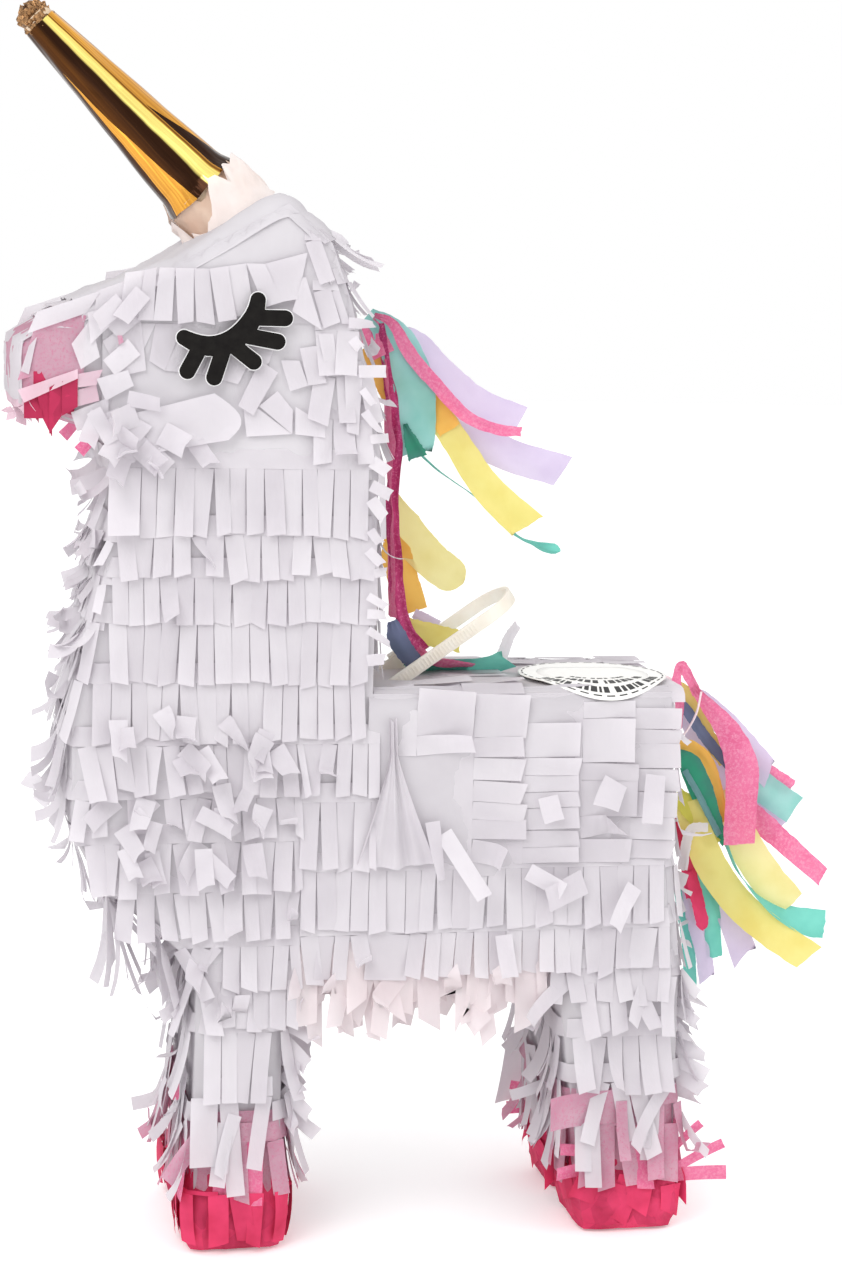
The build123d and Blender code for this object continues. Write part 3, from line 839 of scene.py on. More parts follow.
def chest_fringe():
    """Rows over the chest, curled where they were handled most, with loose curled cuttings on them."""
    rng = random.Random(21)
    sheets = Sheets()
    calm_x = SHOULDER - 26
    skin(sheets, trunk, trunk.around_front(SHOULDER), box("neck_fringe_5")[0].z + 4, BELLY + 1, 1, step=5)
    handled = Style(lift=(2, 9), curl=(0, 24), lean=8, roll=12, messy=0.3, uncut=0.04, wander=3.0,
                    ragged=2.0)
    hanging = Style(lift=(28, 46), curl=(-12, 18), lean=8, roll=14, messy=0.25, ragged=3.0, tips=1.5,
                    reach=30)
    for top, hem, style in ((106, 76, handled), (119, 97, hanging), (132, 103, hanging)):
        row(sheets, trunk, trunk.around_front(-BEYOND), top, hem, style, rng)
    for top, hem in ((183, 159), (165, 145), (150, 127), (133, 110), (114, 93)):
        row(sheets, trunk, trunk.around_front(calm_x), top, hem, handled, rng)
        for side in SIDES.values():
            row(sheets, trunk, trunk.on_side(side, calm_x, SHOULDER), top, hem, LOOSE, rng)
    for side in SIDES.values():
        row(sheets, trunk, trunk.on_side(side, -BEYOND, SHOULDER), BELLY + 2, 79, NEAT, rng)
        for _ in range(26):
            z = rng.uniform(138, 190)
            x = rng.uniform(trunk.edges(z)[0] + 10, -58)
            bend = Bend(rng.uniform(6, 20), rng.uniform(20, 120), roll=rng.gauss(0, 10),
                        twist=rng.gauss(0, 25), cup=0.9)
            size = rng.uniform(4.5, 7.5), rng.uniform(8, 15)
            scrap(sheets, trunk, (x, z), size, rng.gauss(0, 38), bend, rng.uniform(3, 4.5), side)
    tissue(sheets, "chest_fringe_rows", [WHITE, GLUED], ["chest_fringe"])


def fan(sheets, side, seed):
    """Smooth tissue pinched where the neck meets the back, opening into a folded hem."""
    top, drop, x = 184, 50, -20

    def point(t, share):
        u = 2 * share - 1
        half = 1.2 + 17 * max(0.0, t - 0.25) ** 1.15
        fold = (1.6 * math.cos(5.2 * u + seed) + 1.2 * math.cos(11 * u)) * (0.35 + 0.65 * t)
        y = PANEL + 4.2 + fold + 1.5 * t
        return Vector((x + u * half + 2 * t, side * y, top - drop * t + 1.5 * abs(u)))

    sheets.surface(point, 12, 16)
    sheets.cut(30, drop)


# loose cuttings on a flank: x, z, width, length and lean
FLANK_CUTTINGS = ((-6, 150, 5, 20, 8), (-2, 146, 6, 26, 32), (34, 158, 7, 9, 12), (58, 163, 9, 11, -30),
                  (72, 165, 7, 17, -8), (48, 128, 9, 16, -70), (66, 126, 6, 18, -36), (28, 132, 6, 14, 62),
                  (20, 110, 6, 15, 6))


def flank_fringe(word):
    """One flank: bands that run over the back towards the tail, then level rows below."""
    side = SIDES[word]
    rng = random.Random(31 + side)
    sheets = Sheets()
    waist = 134

    def flank(low, inward):
        """Span of the saddle from a real height up and over its corner, this far onto the back."""
        ends = (saddle.flat - inward, saddle.reach(low))
        if side < 0:
            return lambda h: ends
        return lambda h: (-ends[1], -ends[0])

    skin(sheets, trunk, trunk.on_side(side, SHOULDER, BEYOND), 150, BELLY + 1, 1, step=6)
    skin(sheets, saddle, flank(waist - 4, 0), -NAPE_X + 6, -RUMP_X + 5, 1, step=4, crease=1.1, off=0.5,
         seed=3)
    across = Style(widths=(5, 8), lift=(1, 5), uncut=0.2, wander=3)
    for root, free in ((58, 80), (40, 65), (20, 45), (2, 26), (-18, 8)):
        low = waist if root > -10 else 172
        row(sheets, saddle, flank(low, 9 if side < 0 else -4), -root, -free, across, rng, skip=near_label)
    for top, hem in ((183, 158), (163, 134)):
        row(sheets, trunk, trunk.on_side(side, SHOULDER, NAPE_X - 2), top, hem, NEAT, rng)
    fan(sheets, side, 0.6)
    for top, hem, style, x in ((139, 112, NEAT, SHOULDER), (117, 95, LOOSE, SHOULDER),
                               (103, 84, LOOSE, 38)):
        row(sheets, trunk, trunk.on_side(side, x, BEYOND), top, hem, style, rng)
    cuttings(sheets, trunk, side, rng, FLANK_CUTTINGS, (8, 22), (0, 40), 4.5, 0.6, twist=20)
    tissue(sheets, f"body_{word}_fringe", [WHITE, GLUED], [f"body_fringe_{word}"])


def rump_fringe():
    """Rows over the rump, under the tail."""
    rng = random.Random(41)
    sheets = Sheets()
    skin(sheets, trunk, trunk.around_rear(BEYOND), BACK - 3, BELLY + 1, 1, step=5)
    for top, hem in ((191, 172), (178, 154), (160, 132), (138, 112), (118, 92), (BELLY + 2, 76)):
        row(sheets, trunk, trunk.around_rear(BEYOND), top, hem, LOOSE, rng)
    tissue(sheets, "rump_fringe_rows", [WHITE, GLUED], ["rump_fringe"])


def back_wrap():
    """Tissue over the back, cut away round the fill flap."""
    rng = random.Random(51)
    sheets = Sheets()
    half = saddle.flat + saddle.arc

    def across(h):
        return -half, half

    skin(sheets, saddle, across, -NAPE_X + 4, -RUMP_X, step=1.8, crease=0.35, skip=in_fill_hole)
    calm = Style(widths=(6, 9), lift=(-1.0, 0.2), curl=(-1, 0.5), roll=0.3, messy=0.0, uncut=0.2, wander=3)
    for root, free in ((62, 83), (40, 65), (20, 45), (-2, 26)):
        row(sheets, saddle, across, -root, -free, calm, rng, skip=near_label)
    tissue(sheets, "back_wrap", [WHITE], ["back_tissue"])


def belly_fringe():
    """Ragged strips that hang under the belly, between the legs."""
    rng = random.Random(61)
    sheets = Sheets()
    low, high = box("belly_fringe")
    curtain = Style(widths=(5, 9), lift=(0, 8), curl=(-25, 20), lean=7, roll=10, messy=0.15, ragged=4,
                    wander=4, tips=2.6)
    for side in SIDES.values():
        for top, hem in ((BELLY + 5, BELLY - 21), (BELLY + 8, BELLY - 15)):
            row(sheets, trunk, trunk.on_side(side, low.x, high.x), top, hem, curtain, rng)
    inside = PANEL - 1
    for y in (-31, -22, -10, 4, 18, 31):
        band = []
        for reach in (-8, -2, 4, 8):
            at = min(max(y + reach, -inside), inside)
            band.append([Vector((low.x + (high.x - low.x) * i / 20, at, low.z + 3.5 + 0.5 * wavy(i, at, 0)))
                         for i in range(21)])
        sheets.grid(band)
        sheets.cut(high.x - low.x, 16)
        x = low.x + 3
        while x < high.x - 3:
            width = rng.uniform(5, 9)
            bend = Bend(rng.uniform(-8, 12), rng.gauss(0, 30), rng.gauss(0, 14), rng.gauss(0, 18),
                        rng.gauss(0, 45), cup=0.6, slant=rng.gauss(0, 2.0))
            length = rng.uniform(12, 25) + (3 if abs(y) > 30 else 0)
            strip(sheets, Vector((x + width / 2, y, low.z + 4)), (X, -UP, -Y), width, length, bend)
            sheets.cut(width, 20)
            x += width
    # their finish paints in the brighter, warmer look of light through the tissue from behind
    tissue(sheets, "belly_fringe_rows", [PAINTED_BACKLIGHT], ["belly_fringe"])


# ---------------------------------------------------------------- legs and hooves

def leg_wall(leg, word, corner=1.8, skin=1.4):
    """The wall of one leg, from its inner panel and its side of the body."""
    node = f"{leg}_{word}_leg_inner"
    low, high = box(node, f"{leg}_{word}_leg_strip")
    y_low, y_high = (-PANEL, high.y) if word == "left" else (low.y, PANEL)
    return Wall(slice_edges(node), y_low, y_high, corner, skin)


def whole_loop(wall, start=0.01):
    """Span once round a wall."""
    return lambda z: (start, wall.loop(z))


def lost_strips(point):
    """Whether the outer rows of a leg have lost their strips here."""
    return wavy(point.x / 7, point.y / 7, point.z) > 0.28


def leg_lining(sheets, leg, word, wall):
    """Tissue glued straight on a leg's card, under its fringe."""
    edges, half = slice_edges(f"{leg}_{word}_leg_inner"), wall.half + LINING
    top, knee, foot = BELLY - 0.5, 60, 4
    rows = []
    for z in (top, knee, foot):
        front, rear = edges(z)
        corners = ((front, -half), (rear, -half), (rear, half), (front, half))
        rows.append([Vector((x + math.copysign(LINING, x - (front + rear) / 2), wall.middle + y, z))
                     for x, y in corners])
    sheets.grid(rows, 3, closed=True)
    sheets.cut(wall.loop(knee), BELLY - foot)


def leg_fringe(leg, word):
    """Rows round one leg: white, then pink and white together above the hoof."""
    rng = random.Random(f"{leg}{word}")
    wall, over = leg_wall(leg, word), leg_wall(leg, word, 2.6, 2.6)
    around = whole_loop(wall)
    sheets = Sheets()
    leg_lining(sheets, leg, word, wall)
    skin(sheets, wall, around, 50, 18, kind=1, step=3.5, off=0.6)
    ragged = Style(lift=(4, 16), curl=(-4, 30), lean=8, roll=10, messy=0.3, uncut=0.05, wander=3, ragged=2)
    pink = Style(lift=(2, 8), curl=(0, 12), lean=5, ragged=2, kinds=(1, 2, 1))
    mixed = Style(lift=(4, 12), curl=(0, 22), lean=9, messy=0.25, ragged=3, kinds=(0, 1))
    white = Style(lift=(3, 11), curl=(0, 22), lean=8, messy=0.25, ragged=6)
    row(sheets, over, around, 46, 19, pink, rng)
    row(sheets, over, around, 53, 20, mixed, rng, skip=lost_strips)
    row(sheets, over, around, 62, 27, white, rng, skip=lost_strips)
    bands = ((84, 53), (BELLY - 1, 78)) if leg == "front" else ((78, 50), (BELLY - 1, 72))
    for top, hem in bands:
        row(sheets, wall, around, top, hem, LOOSE if leg == "front" else ragged, rng)
    for _ in range(12):
        s = rng.uniform(0, wall.loop(40))
        point, across, down, out = wall.place(wall.station(s, 45), rng.uniform(38, 50), 3)
        bend = Bend(rng.uniform(8, 30), rng.uniform(0, 60), rng.gauss(0, 25), twist=rng.gauss(0, 30))
        strip(sheets, point, (across, down, out), rng.uniform(4, 6.5), rng.uniform(12, 22), bend,
              rng.choice((0, 0, 1)), reach=8)
    side = SIDES[word]
    for z in (92, 86, 79, 72, 66, 61, 55, 50):
        rear = wall.edges(z)[1]
        for depth in (4, 16):
            spot = Vector((rear + 2, side * (PANEL - depth), z))
            bend = Bend(rng.uniform(0, 30), rng.uniform(20, 90), rng.uniform(20, 70), rng.gauss(0, 20),
                        rng.gauss(0, 40), cup=0.8)
            strip(sheets, spot, (X, -UP, Y * side), rng.uniform(4, 6), rng.uniform(10, 15), bend)
            sheets.cut(5, 12)
    tissue(sheets, f"{leg}_{word}_leg_fringe_rows", [WHITE, BLUSH, ROSE, GLUED],
           [f"{leg}_{word}_leg_fringe"])


# height and how far the tissue stands out there, from a hoof's top down to its sole
HOOF_LEVELS = ((30, -0.8), (27, -0.2), (23, 0.7), (19, 1.9), (15, 2.8), (11, 3.0), (7, 2.4), (3.4, 1.6),
               (1.2, 0.5), (0.7, -1.2))


def hoof_ring(wall, z, out_by, seed, count=46):
    """One ring of a hoof's bunched tissue."""
    ring = []
    for j in range(count):
        s = wall.loop(z) * j / count
        point, _, _, out = wall.place(wall.station(s, max(z, 4)), max(z, 4))
        fold = wavy(j * 0.55, z * 0.12, seed) + 0.8 * wavy(j * 1.3, z * 0.3, seed)
        stands = out_by + 1.5 * fold * (1 if z > 2 else 0.3)
        spot = point + Vector((out.x, out.y, 0)).normalized() * stands
        lift = 1.3 * wavy(j * 0.4, z, seed + 9) if 2 < z < 29 else 0
        ring.append(Vector((spot.x, spot.y, z + lift)))
    return ring


def hoof(leg, word):
    """Hot pink tissue bunched round one foot and tucked under it, with loose strips on it."""
    rng = random.Random(f"hoof{leg}{word}")
    wall = leg_wall(leg, word)
    low, high = box(f"{leg}_{word}_hoof_wrap")
    seed = rng.uniform(0, 50)
    sheets = Sheets()
    rows = [hoof_ring(wall, z, out_by, seed) for z, out_by in HOOF_LEVELS]
    sheets.grid(rows, closed=True)
    middle, sole_z = (low + high) / 2, HOOF_LEVELS[-1][0]
    half_way = [p * 0.5 + Vector((middle.x, middle.y, 0.6)) * 0.5 for p in rows[-1]]
    sole = [Vector((p.x, p.y, sole_z)) for p in half_way]
    sheets.grid([rows[-1], sole], closed=True)
    sheets.face(sole)
    sheets.cut(wall.loop(20), 34)

    if leg == "front":
        strips = Style(widths=(5, 8), lift=(0, 4), curl=(-24, -8), lean=5, roll=6, messy=0, uncut=0.05,
                       ragged=1.0)
        outer = leg_wall(leg, word, 4.0, 4.9)
        row(sheets, outer, whole_loop(wall), 23, 3.8, strips, rng, header=1, kind=2,
            skip=lambda p: (p.x * 7 + p.y * 3) % 17 < 4)
    else:
        for i in range(12):
            s, z = wall.loop(15) * (i + rng.random()) / 12, rng.uniform(15, 24)
            point, across, down, out = wall.place(wall.station(s, z), z, 2.6)
            bend = Bend(rng.uniform(-4, 6), rng.uniform(-14, 4), rng.gauss(0, 22), rng.gauss(0, 10),
                        cup=0.8, slant=rng.gauss(0, 3))
            strip(sheets, point, (across, down, out), rng.uniform(8, 14), rng.uniform(9, 14), bend, 2,
                  steps=4)
        face = SIDES[word] * (PANEL + 2)
        for x, z, lean, width, length in ((high.x - 3, 22, 120, 3.4, 20), (high.x - 3, 20, 93, 5.0, 19),
                                          (high.x - 3, 30, 136, 3.0, 13), (low.x + 4, 24, -84, 5.0, 13),
                                          (low.x + 2, 30, -100, 4.0, 10)):
            bend = Bend(2, 16, lean, twist=rng.uniform(-30, 30), cup=0.6)
            strip(sheets, Vector((x, face, z)), (X, -UP, Y * SIDES[word]), width, length, bend, kind=1,
                  reach=8)
    tissue(sheets, f"{leg}_{word}_hoof", [HOT_DEEP, ROSE, HOT], [f"{leg}_{word}_hoof_wrap"],
           "pink_tissue", smooth=(leg == "front"))


# ---------------------------------------------------------------- head

# corners of the head's cut pieces as (x, z), each in order from its glued edge; then how far out each lies
BROW_STRIPS = [((-111, 331), (-105, 332), (-107, 316), (-113, 316)),
               ((-105, 332), (-101, 333), (-102, 316), (-107, 316)),
               ((-100, 333), (-95, 333), (-96, 316), (-102, 316)),
               ((-95, 333), (-89, 333), (-89, 316), (-94, 315)),
               ((-89, 333), (-84, 333), (-82, 315), (-88, 316)),
               ((-84, 333), (-78, 334), (-75, 317), (-81, 316)),
               ((-78, 334), (-72, 335), (-69, 318), (-75, 318)),
               ((-72, 335), (-66, 335), (-60, 323), (-66, 321)),
               ((-66, 335), (-52, 339), (-55, 324), (-60, 323))]
CHEEK_PIECES = [((-110, 315), (-101, 315), (-106, 304), (-114, 307), 2.6),
                ((-101, 315), (-92, 315), (-98, 300), (-103, 303), 2.9),
                ((-92, 315), (-80, 315), (-86, 299), (-98, 300), 2.6),
                ((-80, 313), (-66, 312), (-74, 296), (-86, 299), 2.8),
                ((-66, 316), (-58, 320), (-64, 303), (-71, 300), 2.5),
                ((-67, 304), (-61, 300), (-69, 286), (-74, 289), 4.0),
                ((-60, 304), (-54, 304), (-51, 296), (-57, 294), 3.6),
                ((-54, 308), (-48, 309), (-45, 297), (-51, 296), 3.9),
                ((-48, 313), (-43, 313), (-41, 300), (-45, 299), 4.2),
                ((-67, 289), (-61, 294), (-56, 288), (-56, 280), 3.8),
                ((-72, 288), (-67, 288), (-56, 280), (-71, 279), 3.2),
                ((-55, 289), (-45, 283), (-45, 279), (-55, 280), 3.8),
                ((-39, 300), (-33, 300), (-34, 280), (-38, 281), 4.4),
                ((-53.5, 331), (-52.5, 331), (-47, 314), (-57, 320), 5.0)]


# loose cuttings under the jaw: x, z, width, length and lean
JAW_CUTTINGS = ((-107, 286, 8, 15, -70), (-110, 280, 7, 15, -40), (-116, 279, 7, 13, 30),
                (-99, 280, 8, 14, 62), (-119, 286, 6, 14, -25), (-106, 275, 7, 14, 48),
                (-88, 277, 6, 13, 34), (-113, 272, 7, 13, -20), (-97, 273, 7, 13, -44))


def head_tissue():
    """Smooth patches on the brow and cheeks, with short rows between and behind them."""
    rng = random.Random(71)
    sheets = Sheets()
    top = box("head_tissue")[1].z - 9
    skin(sheets, trunk, trunk.around_rear(MUZZLE_BACK), 318, HEAD_Z - 3, 1, step=4, crease=0.7)
    skin(sheets, trunk, whole_loop(trunk), top, 316, 1, step=2.5, crease=0.8, off=0.3, seed=4)
    crown(sheets)
    nape = Style(widths=(5.5, 7.5), lift=(2, 8), curl=(0, 16), lean=4, messy=0.12, wander=2.5, uncut=0.05)
    crest = Style(widths=(5.5, 7.5), lift=(8, 20), curl=(0, 26), lean=5, messy=0.25, wander=3, uncut=0.05)
    for side in SIDES.values():
        for i, corners in enumerate(CHEEK_PIECES):
            patch(sheets, side, corners[:4], corners[4] - 0.8, 0, 0.4, 0.8, seed=i)
        for i, corners in enumerate(BROW_STRIPS):
            patch(sheets, side, corners, 3.0 + 0.5 * (i % 2), 0, 0.3, 0.6 + 0.5 * (i % 3), seed=i)
        cheek(sheets, side)
        tilted = Style(widths=(6, 8), lift=(1, 5), curl=(0, 8), lean=2, messy=0, wander=1, tilt=20 * -side,
                       uncut=0)
        row(sheets, trunk, trunk.on_side(side, -53, -35), 346, 329, tilted, rng, header=3)
        row(sheets, trunk, trunk.on_side(side, -50, -30), 331, 315, tilted, rng, header=4)
    for x, z_top, hem, style in ((-49, 290, 270, nape), (-49, 304, 284, nape), (-49, 319, 300, nape),
                                 (-38, 334, 316, crest), (-38, 347, 328, crest)):
        row(sheets, trunk, trunk.around_rear(x), z_top, hem, style, rng, header=5)
    for side in SIDES.values():
        cuttings(sheets, trunk, side, rng, JAW_CUTTINGS, (6, 16), (60, 130), 3, 1.0, roll=10)
        for i in range(16):
            z = 206 + 7.4 * i + rng.uniform(-2, 2)
            bend = Bend(rng.uniform(4, 30), rng.uniform(10, 80), twist=rng.gauss(0, 40), cup=0.5)
            spot = trunk.edges(z)[1] - rng.uniform(0.5, 3), z
            size = rng.uniform(2.5, 4.5), rng.uniform(6, 11)
            scrap(sheets, trunk, spot, size, rng.uniform(30, 105), bend, 3, side)
    tissue(sheets, "head_wrap", [WHITE, GLUED], ["head_tissue"])


def crown(sheets):
    """Creased tissue laid over the brow and down behind the head, its side edges turned over the cheeks."""
    ridge = ((-126, 319), (-105, 328.5), (-82, 341.5), (-61, 354), (-52, 350.5), (-44.5, 342), (-40, 330))
    count, flat, edge_drop = 44, 0.84, 7.0
    path = smooth_line([Vector((x, 0, z)) for x, z in ridge], count)
    rows = []
    for i, here in enumerate(path):
        along = (path[min(i + 1, count)] - path[max(i - 1, 0)]).normalized()
        out = Vector((-along.z, 0, along.x))
        line = []
        for j in range(25):
            v = 2 * j / 24 - 1
            turned = max(0.0, abs(v) - flat) / 0.16
            rough = wavy(i * 0.16, v * 2.2, 3) + 0.6 * wavy(i * 0.5, v * 6, 8)
            off = 2.8 + 1.5 * rough - (edge_drop + 1.5 * rough) * turned ** 1.3
            y = v * (PANEL + 1.4) + math.copysign(1.0 * math.sin(turned * math.pi / 2), v)
            line.append(here + out * off + Y * y)
        rows.append(line)
    sheets.grid(rows, 1)
    sheets.cut(run_length(path), 2 * PANEL + 8)


def cheek(sheets, side):
    """Smooth patch under the eye with a turned-up rear edge."""
    front, top, proud = -112, 285, PANEL + 3.4

    def point(t, u):
        x = front + (30 + 9 * math.sin(2.6 * t)) * u + 8 * t * (1 - u)
        z = top + 8 * u - (12 + 3 * u) * t
        edge = max(0.0, u - 0.8) / 0.2 + max(0.0, t - 0.88) / 0.12
        y = proud + 0.9 * math.sin(3.1 * u) + 1.6 * edge + 0.6 * wavy(u * 4, t * 3, 7)
        return Vector((x, side * y, z))

    sheets.surface(point, 9, 14)
    sheets.cut(36, 14)


# corners of the muzzle's pieces as (x, z), the finish of each and how far out it lies
NOSE_PIECES = [((-145, 296), (-140, 312), (-123, 318), (-125, 302), 1, 2.0),
               ((-145, 293), (-126, 300), (-126, 297), (-143, 289), 4, 3.4),
               ((-144, 299), (-141.5, 307), (-139, 310), (-141.5, 298), 0, 2.2),
               ((-142, 311), (-139, 318), (-119, 325), (-123, 318), 0, 2.8),
               ((-128, 298), (-118, 300), (-120, 295), (-127, 294), 4, 3.4),
               ((-127, 293), (-120, 295), (-119, 290), (-126, 288), 4, 3.0),
               ((-120, 297), (-110, 300), (-108, 295), (-117, 290), 0, 4.0),
               ((-123, 318), (-120, 319), (-116, 314), (-122, 308), 0, 3.8),
               ((-122, 316), (-128, 308), (-125, 300), (-119, 304), 0, 3.2),
               ((-117, 314), (-111, 320), (-106, 316), (-113, 310), 0, 3.6),
               ((-110, 310), (-106, 305), (-114, 298), (-118, 303), 0, 3.9),
               ((-113.5, 311), (-112, 311), (-111.5, 309), (-113, 308), 1, 4.3),
               ((-128, 286), (-116, 291), (-116, 283), (-126, 280), 0, 3.0),
               ((-122, 280), (-120, 277), (-124, 272), (-127, 275), 3, 4.6),
               ((-119, 285), (-113, 288), (-102, 282), (-106, 277), 0, 4.2),
               ((-113, 273), (-105, 279), (-101, 276), (-108, 270), 0, 4.4),
               ((-120, 325), (-104, 331), (-106, 318), (-121, 315), 0, 2.6),
               ((-118, 309), (-106, 318), (-104, 300), (-112, 298), 0, 2.4)]
HOT_PIECES = [((-143, 290), (-138, 293), (-137, 284), (-143, 284)),
              ((-139, 292), (-134, 295), (-134, 278), (-137, 284)),
              ((-135, 294), (-130, 297), (-131, 285), (-135, 279)),
              ((-131, 296), (-126, 297), (-126, 288), (-131, 285))]


# loose cuttings on the nose: x, z, width, length and lean
NOSE_CUTTINGS = ((-130, 322, 6, 12, -50), (-126, 325, 6, 12, -40), (-121, 287, 5, 12, 30),
                 (-117, 283, 5, 13, 55), (-110, 291, 5, 11, 80))


def muzzle():
    """The nose: pink tissue with hot pink under it, and white strips from the face over both."""
    rng = random.Random(81)
    sheets = Sheets()
    nose = Wall(slice_edges("left_side_panel", BELLY), -PANEL, PANEL, corner=4.0, skin=1.4)
    skin(sheets, nose, nose.around_front(-141), 299, 281, kind=1, off=0.4, step=2.5, crease=1.0, seed=1)
    for side in SIDES.values():
        skin(sheets, nose, nose.on_side(side, -143, -127), 299, 280, kind=2, off=0.4, step=2.5, crease=1.2,
             seed=1)
    skin(sheets, nose, nose.around_front(-124), 317, 296, kind=1, off=1.0, step=2.5, crease=1.2, seed=2)
    skin(sheets, nose, nose.around_front(-122), 331, 313, kind=0, off=1.6, step=2.0, crease=1.3, seed=5)
    skin(sheets, nose, lambda z: (-PANEL, PANEL), 313, 288, kind=0, off=0.9, step=2.5, crease=1.0, seed=9)
    lip = Style(widths=(5, 7), lift=(2, 12), messy=0.3, uncut=0)
    row(sheets, nose, nose.around_front(-141), 292, 285, lip, rng, header=3, kind=4)
    for side in SIDES.values():
        for i, corners in enumerate(NOSE_PIECES):
            patch(sheets, side, corners[:4], corners[5], corners[4], 0.7, 0.4 * (i % 3), seed=i)
        for i, corners in enumerate(HOT_PIECES):
            patch(sheets, side, corners, 2.6 + 0.4 * i, 2, 1.2, 0.8, seed=i)
        cuttings(sheets, nose, side, rng, NOSE_CUTTINGS, (6, 20), (5, 50), 3.6, 0.5, twist=20)
    top = Style(widths=(5, 8), lift=(2, 7), curl=(0, 12), messy=0)
    row(sheets, nose, nose.around_front(-124), 327, 314, top, rng, header=5, kind=0)
    tissue(sheets, "muzzle_wrap", [WHITE, BLUSH, NOSE_PINK, ROSE, PALE_PINK], ["muzzle_tissue"],
           "pink_tissue")


def outline_loop(node, side):
    """Outer face of a flat CAD piece as one closed run of points in its own order."""
    mesh = frame["nodes"][node].data
    spots, edges = {}, {}
    for face in mesh.polygons:
        if face.normal.y * side < 0.9:
            continue
        corners = []
        for i in face.vertices:
            spot = mesh.vertices[i].co / MM
            corners.append(spots.setdefault((round(spot.x, 2), round(spot.z, 2)), spot))
        for a, b in zip(corners, corners[1:] + corners[:1]):
            key, back = ((a.x, a.z), (b.x, b.z)), ((b.x, b.z), (a.x, a.z))
            if back in edges:
                del edges[back]
            else:
                edges[key] = (a, b)
    follow = {key[0]: pair for key, pair in edges.items()}
    start = next(iter(follow))
    loop, here = [], start
    while not loop or here != start:
        a, b = follow[here]
        loop.append(a.copy())
        here = (b.x, b.z)
    return loop


def plate(sheets, loop, y_from, y_to, kind=0):
    """Flat plate between two y, from its outline."""
    near = [Vector((p.x, y_to, p.z)) for p in loop]
    far = [Vector((p.x, y_from, p.z)) for p in loop]
    sheets.grid([near, far], kind, closed=True)
    sheets.face(near, kind)
    sheets.face(far, kind)


def grown(loop, by):
    """The outline moved outwards."""
    made = []
    for i, here in enumerate(loop):
        before, after = loop[i - 1], loop[(i + 1) % len(loop)]
        a, b = (here - before).normalized(), (after - here).normalized()
        out = Vector((a.z + b.z, 0, -a.x - b.x)).normalized()
        made.append(here + out * by)
    middle = sum(loop, Vector()) / len(loop)
    spread = sum((p - middle).length for p in made) - sum((p - middle).length for p in loop)
    return made if spread > 0 else [2 * h - m for h, m in zip(loop, made)]


def eyes():
    """Closed eyes: black vinyl with a thin white edge, stuck over the fringe."""
    proud, thick, rim = 6.4, 0.3, 0.28
    for word, side in SIDES.items():
        node = f"{word}_eye_sticker"
        loop = outline_loop(node, side)
        face = side * (PANEL + proud)
        sheets = Sheets()
        plate(sheets, loop, face - side * thick, face)
        edge = grown(loop, rim)
        inside, outside, under = ([Vector((p.x, face - side * depth, p.z)) for p in run]
                                  for run, depth in ((loop, 0.25), (edge, 0.25), (edge, 0.55)))
        sheets.grid([inside, outside, under], 1, closed=True)
        sheets.piece(f"{word}_eye", [VINYL, VINYL_EDGE], "body", "eye_sticker", [node], smooth=False)


# ---------------------------------------------------------------- horn

def horn_frame():
    """Base centre, tip centre, base radius and tip radius of the CAD foil, whose axis is at y = 0."""
    spots = [v.co / MM for v in frame["nodes"]["horn_foil"].data.vertices]
    widest = max(spots, key=lambda p: p.y)
    base = Vector((widest.x, 0, widest.z))
    far = max((p - base).length for p in spots)
    end = [p for p in spots if (p - base).length > far - 0.2]
    tip_r = max(p.y for p in end)
    widest_end = max(end, key=lambda p: p.y)
    return base, Vector((widest_end.x, 0, widest_end.z)), widest.y, tip_r


def on_horn(made, base, tip):
    """Puts a piece drawn along its own Z on the horn's axis, its X towards the unicorn's left."""
    axis = (tip - base).normalized()
    turn = Matrix((-Y, axis.cross(-Y), axis)).transposed().to_4x4()
    made.parent = None
    made.matrix_world = Matrix.Translation(base * MM) @ turn
    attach(made, "body")


def horn():
    """Rolled foil horn: creased along its length and flared at its foot."""
    base, tip, base_r, tip_r = horn_frame()
    length = (tip - base).length
    flare, flare_share, covered = 1.3, 0.06, 0.955

    def foil(t, angle):
        radius = base_r + (tip_r - base_r) * t
        radius += flare * max(0.0, flare_share - t) / flare_share
        crease = abs(math.sin(2.5 * angle + 0.8 * math.sin(4 * t) + 0.5))
        dent = 0.05 * wavy_ring(angle, 1.4, t * 2.5)
        foot = 1.8 * wavy_ring(angle, 2, 5) if t == 0 else 0
        return polar(radius * (1.0 + 0.04 * crease + abs(dent)) + 0.1, angle, length * covered * t + foot)

    sheets = Sheets()
    sheets.turned(foil, 40, 72)
    made = sheets.piece("horn_foil_wrap", [GOLD], "body", "gold_foil", ["horn_foil"])
    on_horn(made, base, tip)


def horn_tip():
    """Foil crushed into a rough knob over the horn's end."""
    base, tip, _, tip_r = horn_frame()
    start = (tip - base).length * 0.93

    def knob(t, angle):
        rough = wavy_ring(angle, 3.2, t * 6)
        rough += 0.7 * wavy_ring(angle, 8, t * 13)
        radius = tip_r * (0.96 + 0.26 * rough) * math.sqrt(max(0.0, 1 - max(0.0, t - 0.45) ** 2 / 0.31))
        return polar(radius, angle, start + 9.5 * t + 1.1 * rough)

    sheets = Sheets()
    sheets.face(sheets.turned(knob, 14, 44))
    made = sheets.piece("horn_tip", [CRUSHED], "body", "gold_foil", smooth=False)
    on_horn(made, base, tip)


# the two wraps: name, finish, slot, foot and top along the horn, how far it stands out, and seed
COLLARS = (("horn_tape", TAPE, "paper_tape", -13, 1.0, 0.9, 3),
           ("horn_tuft", COLLAR, "white_tissue", -18, 0.5, 3.4, 8))


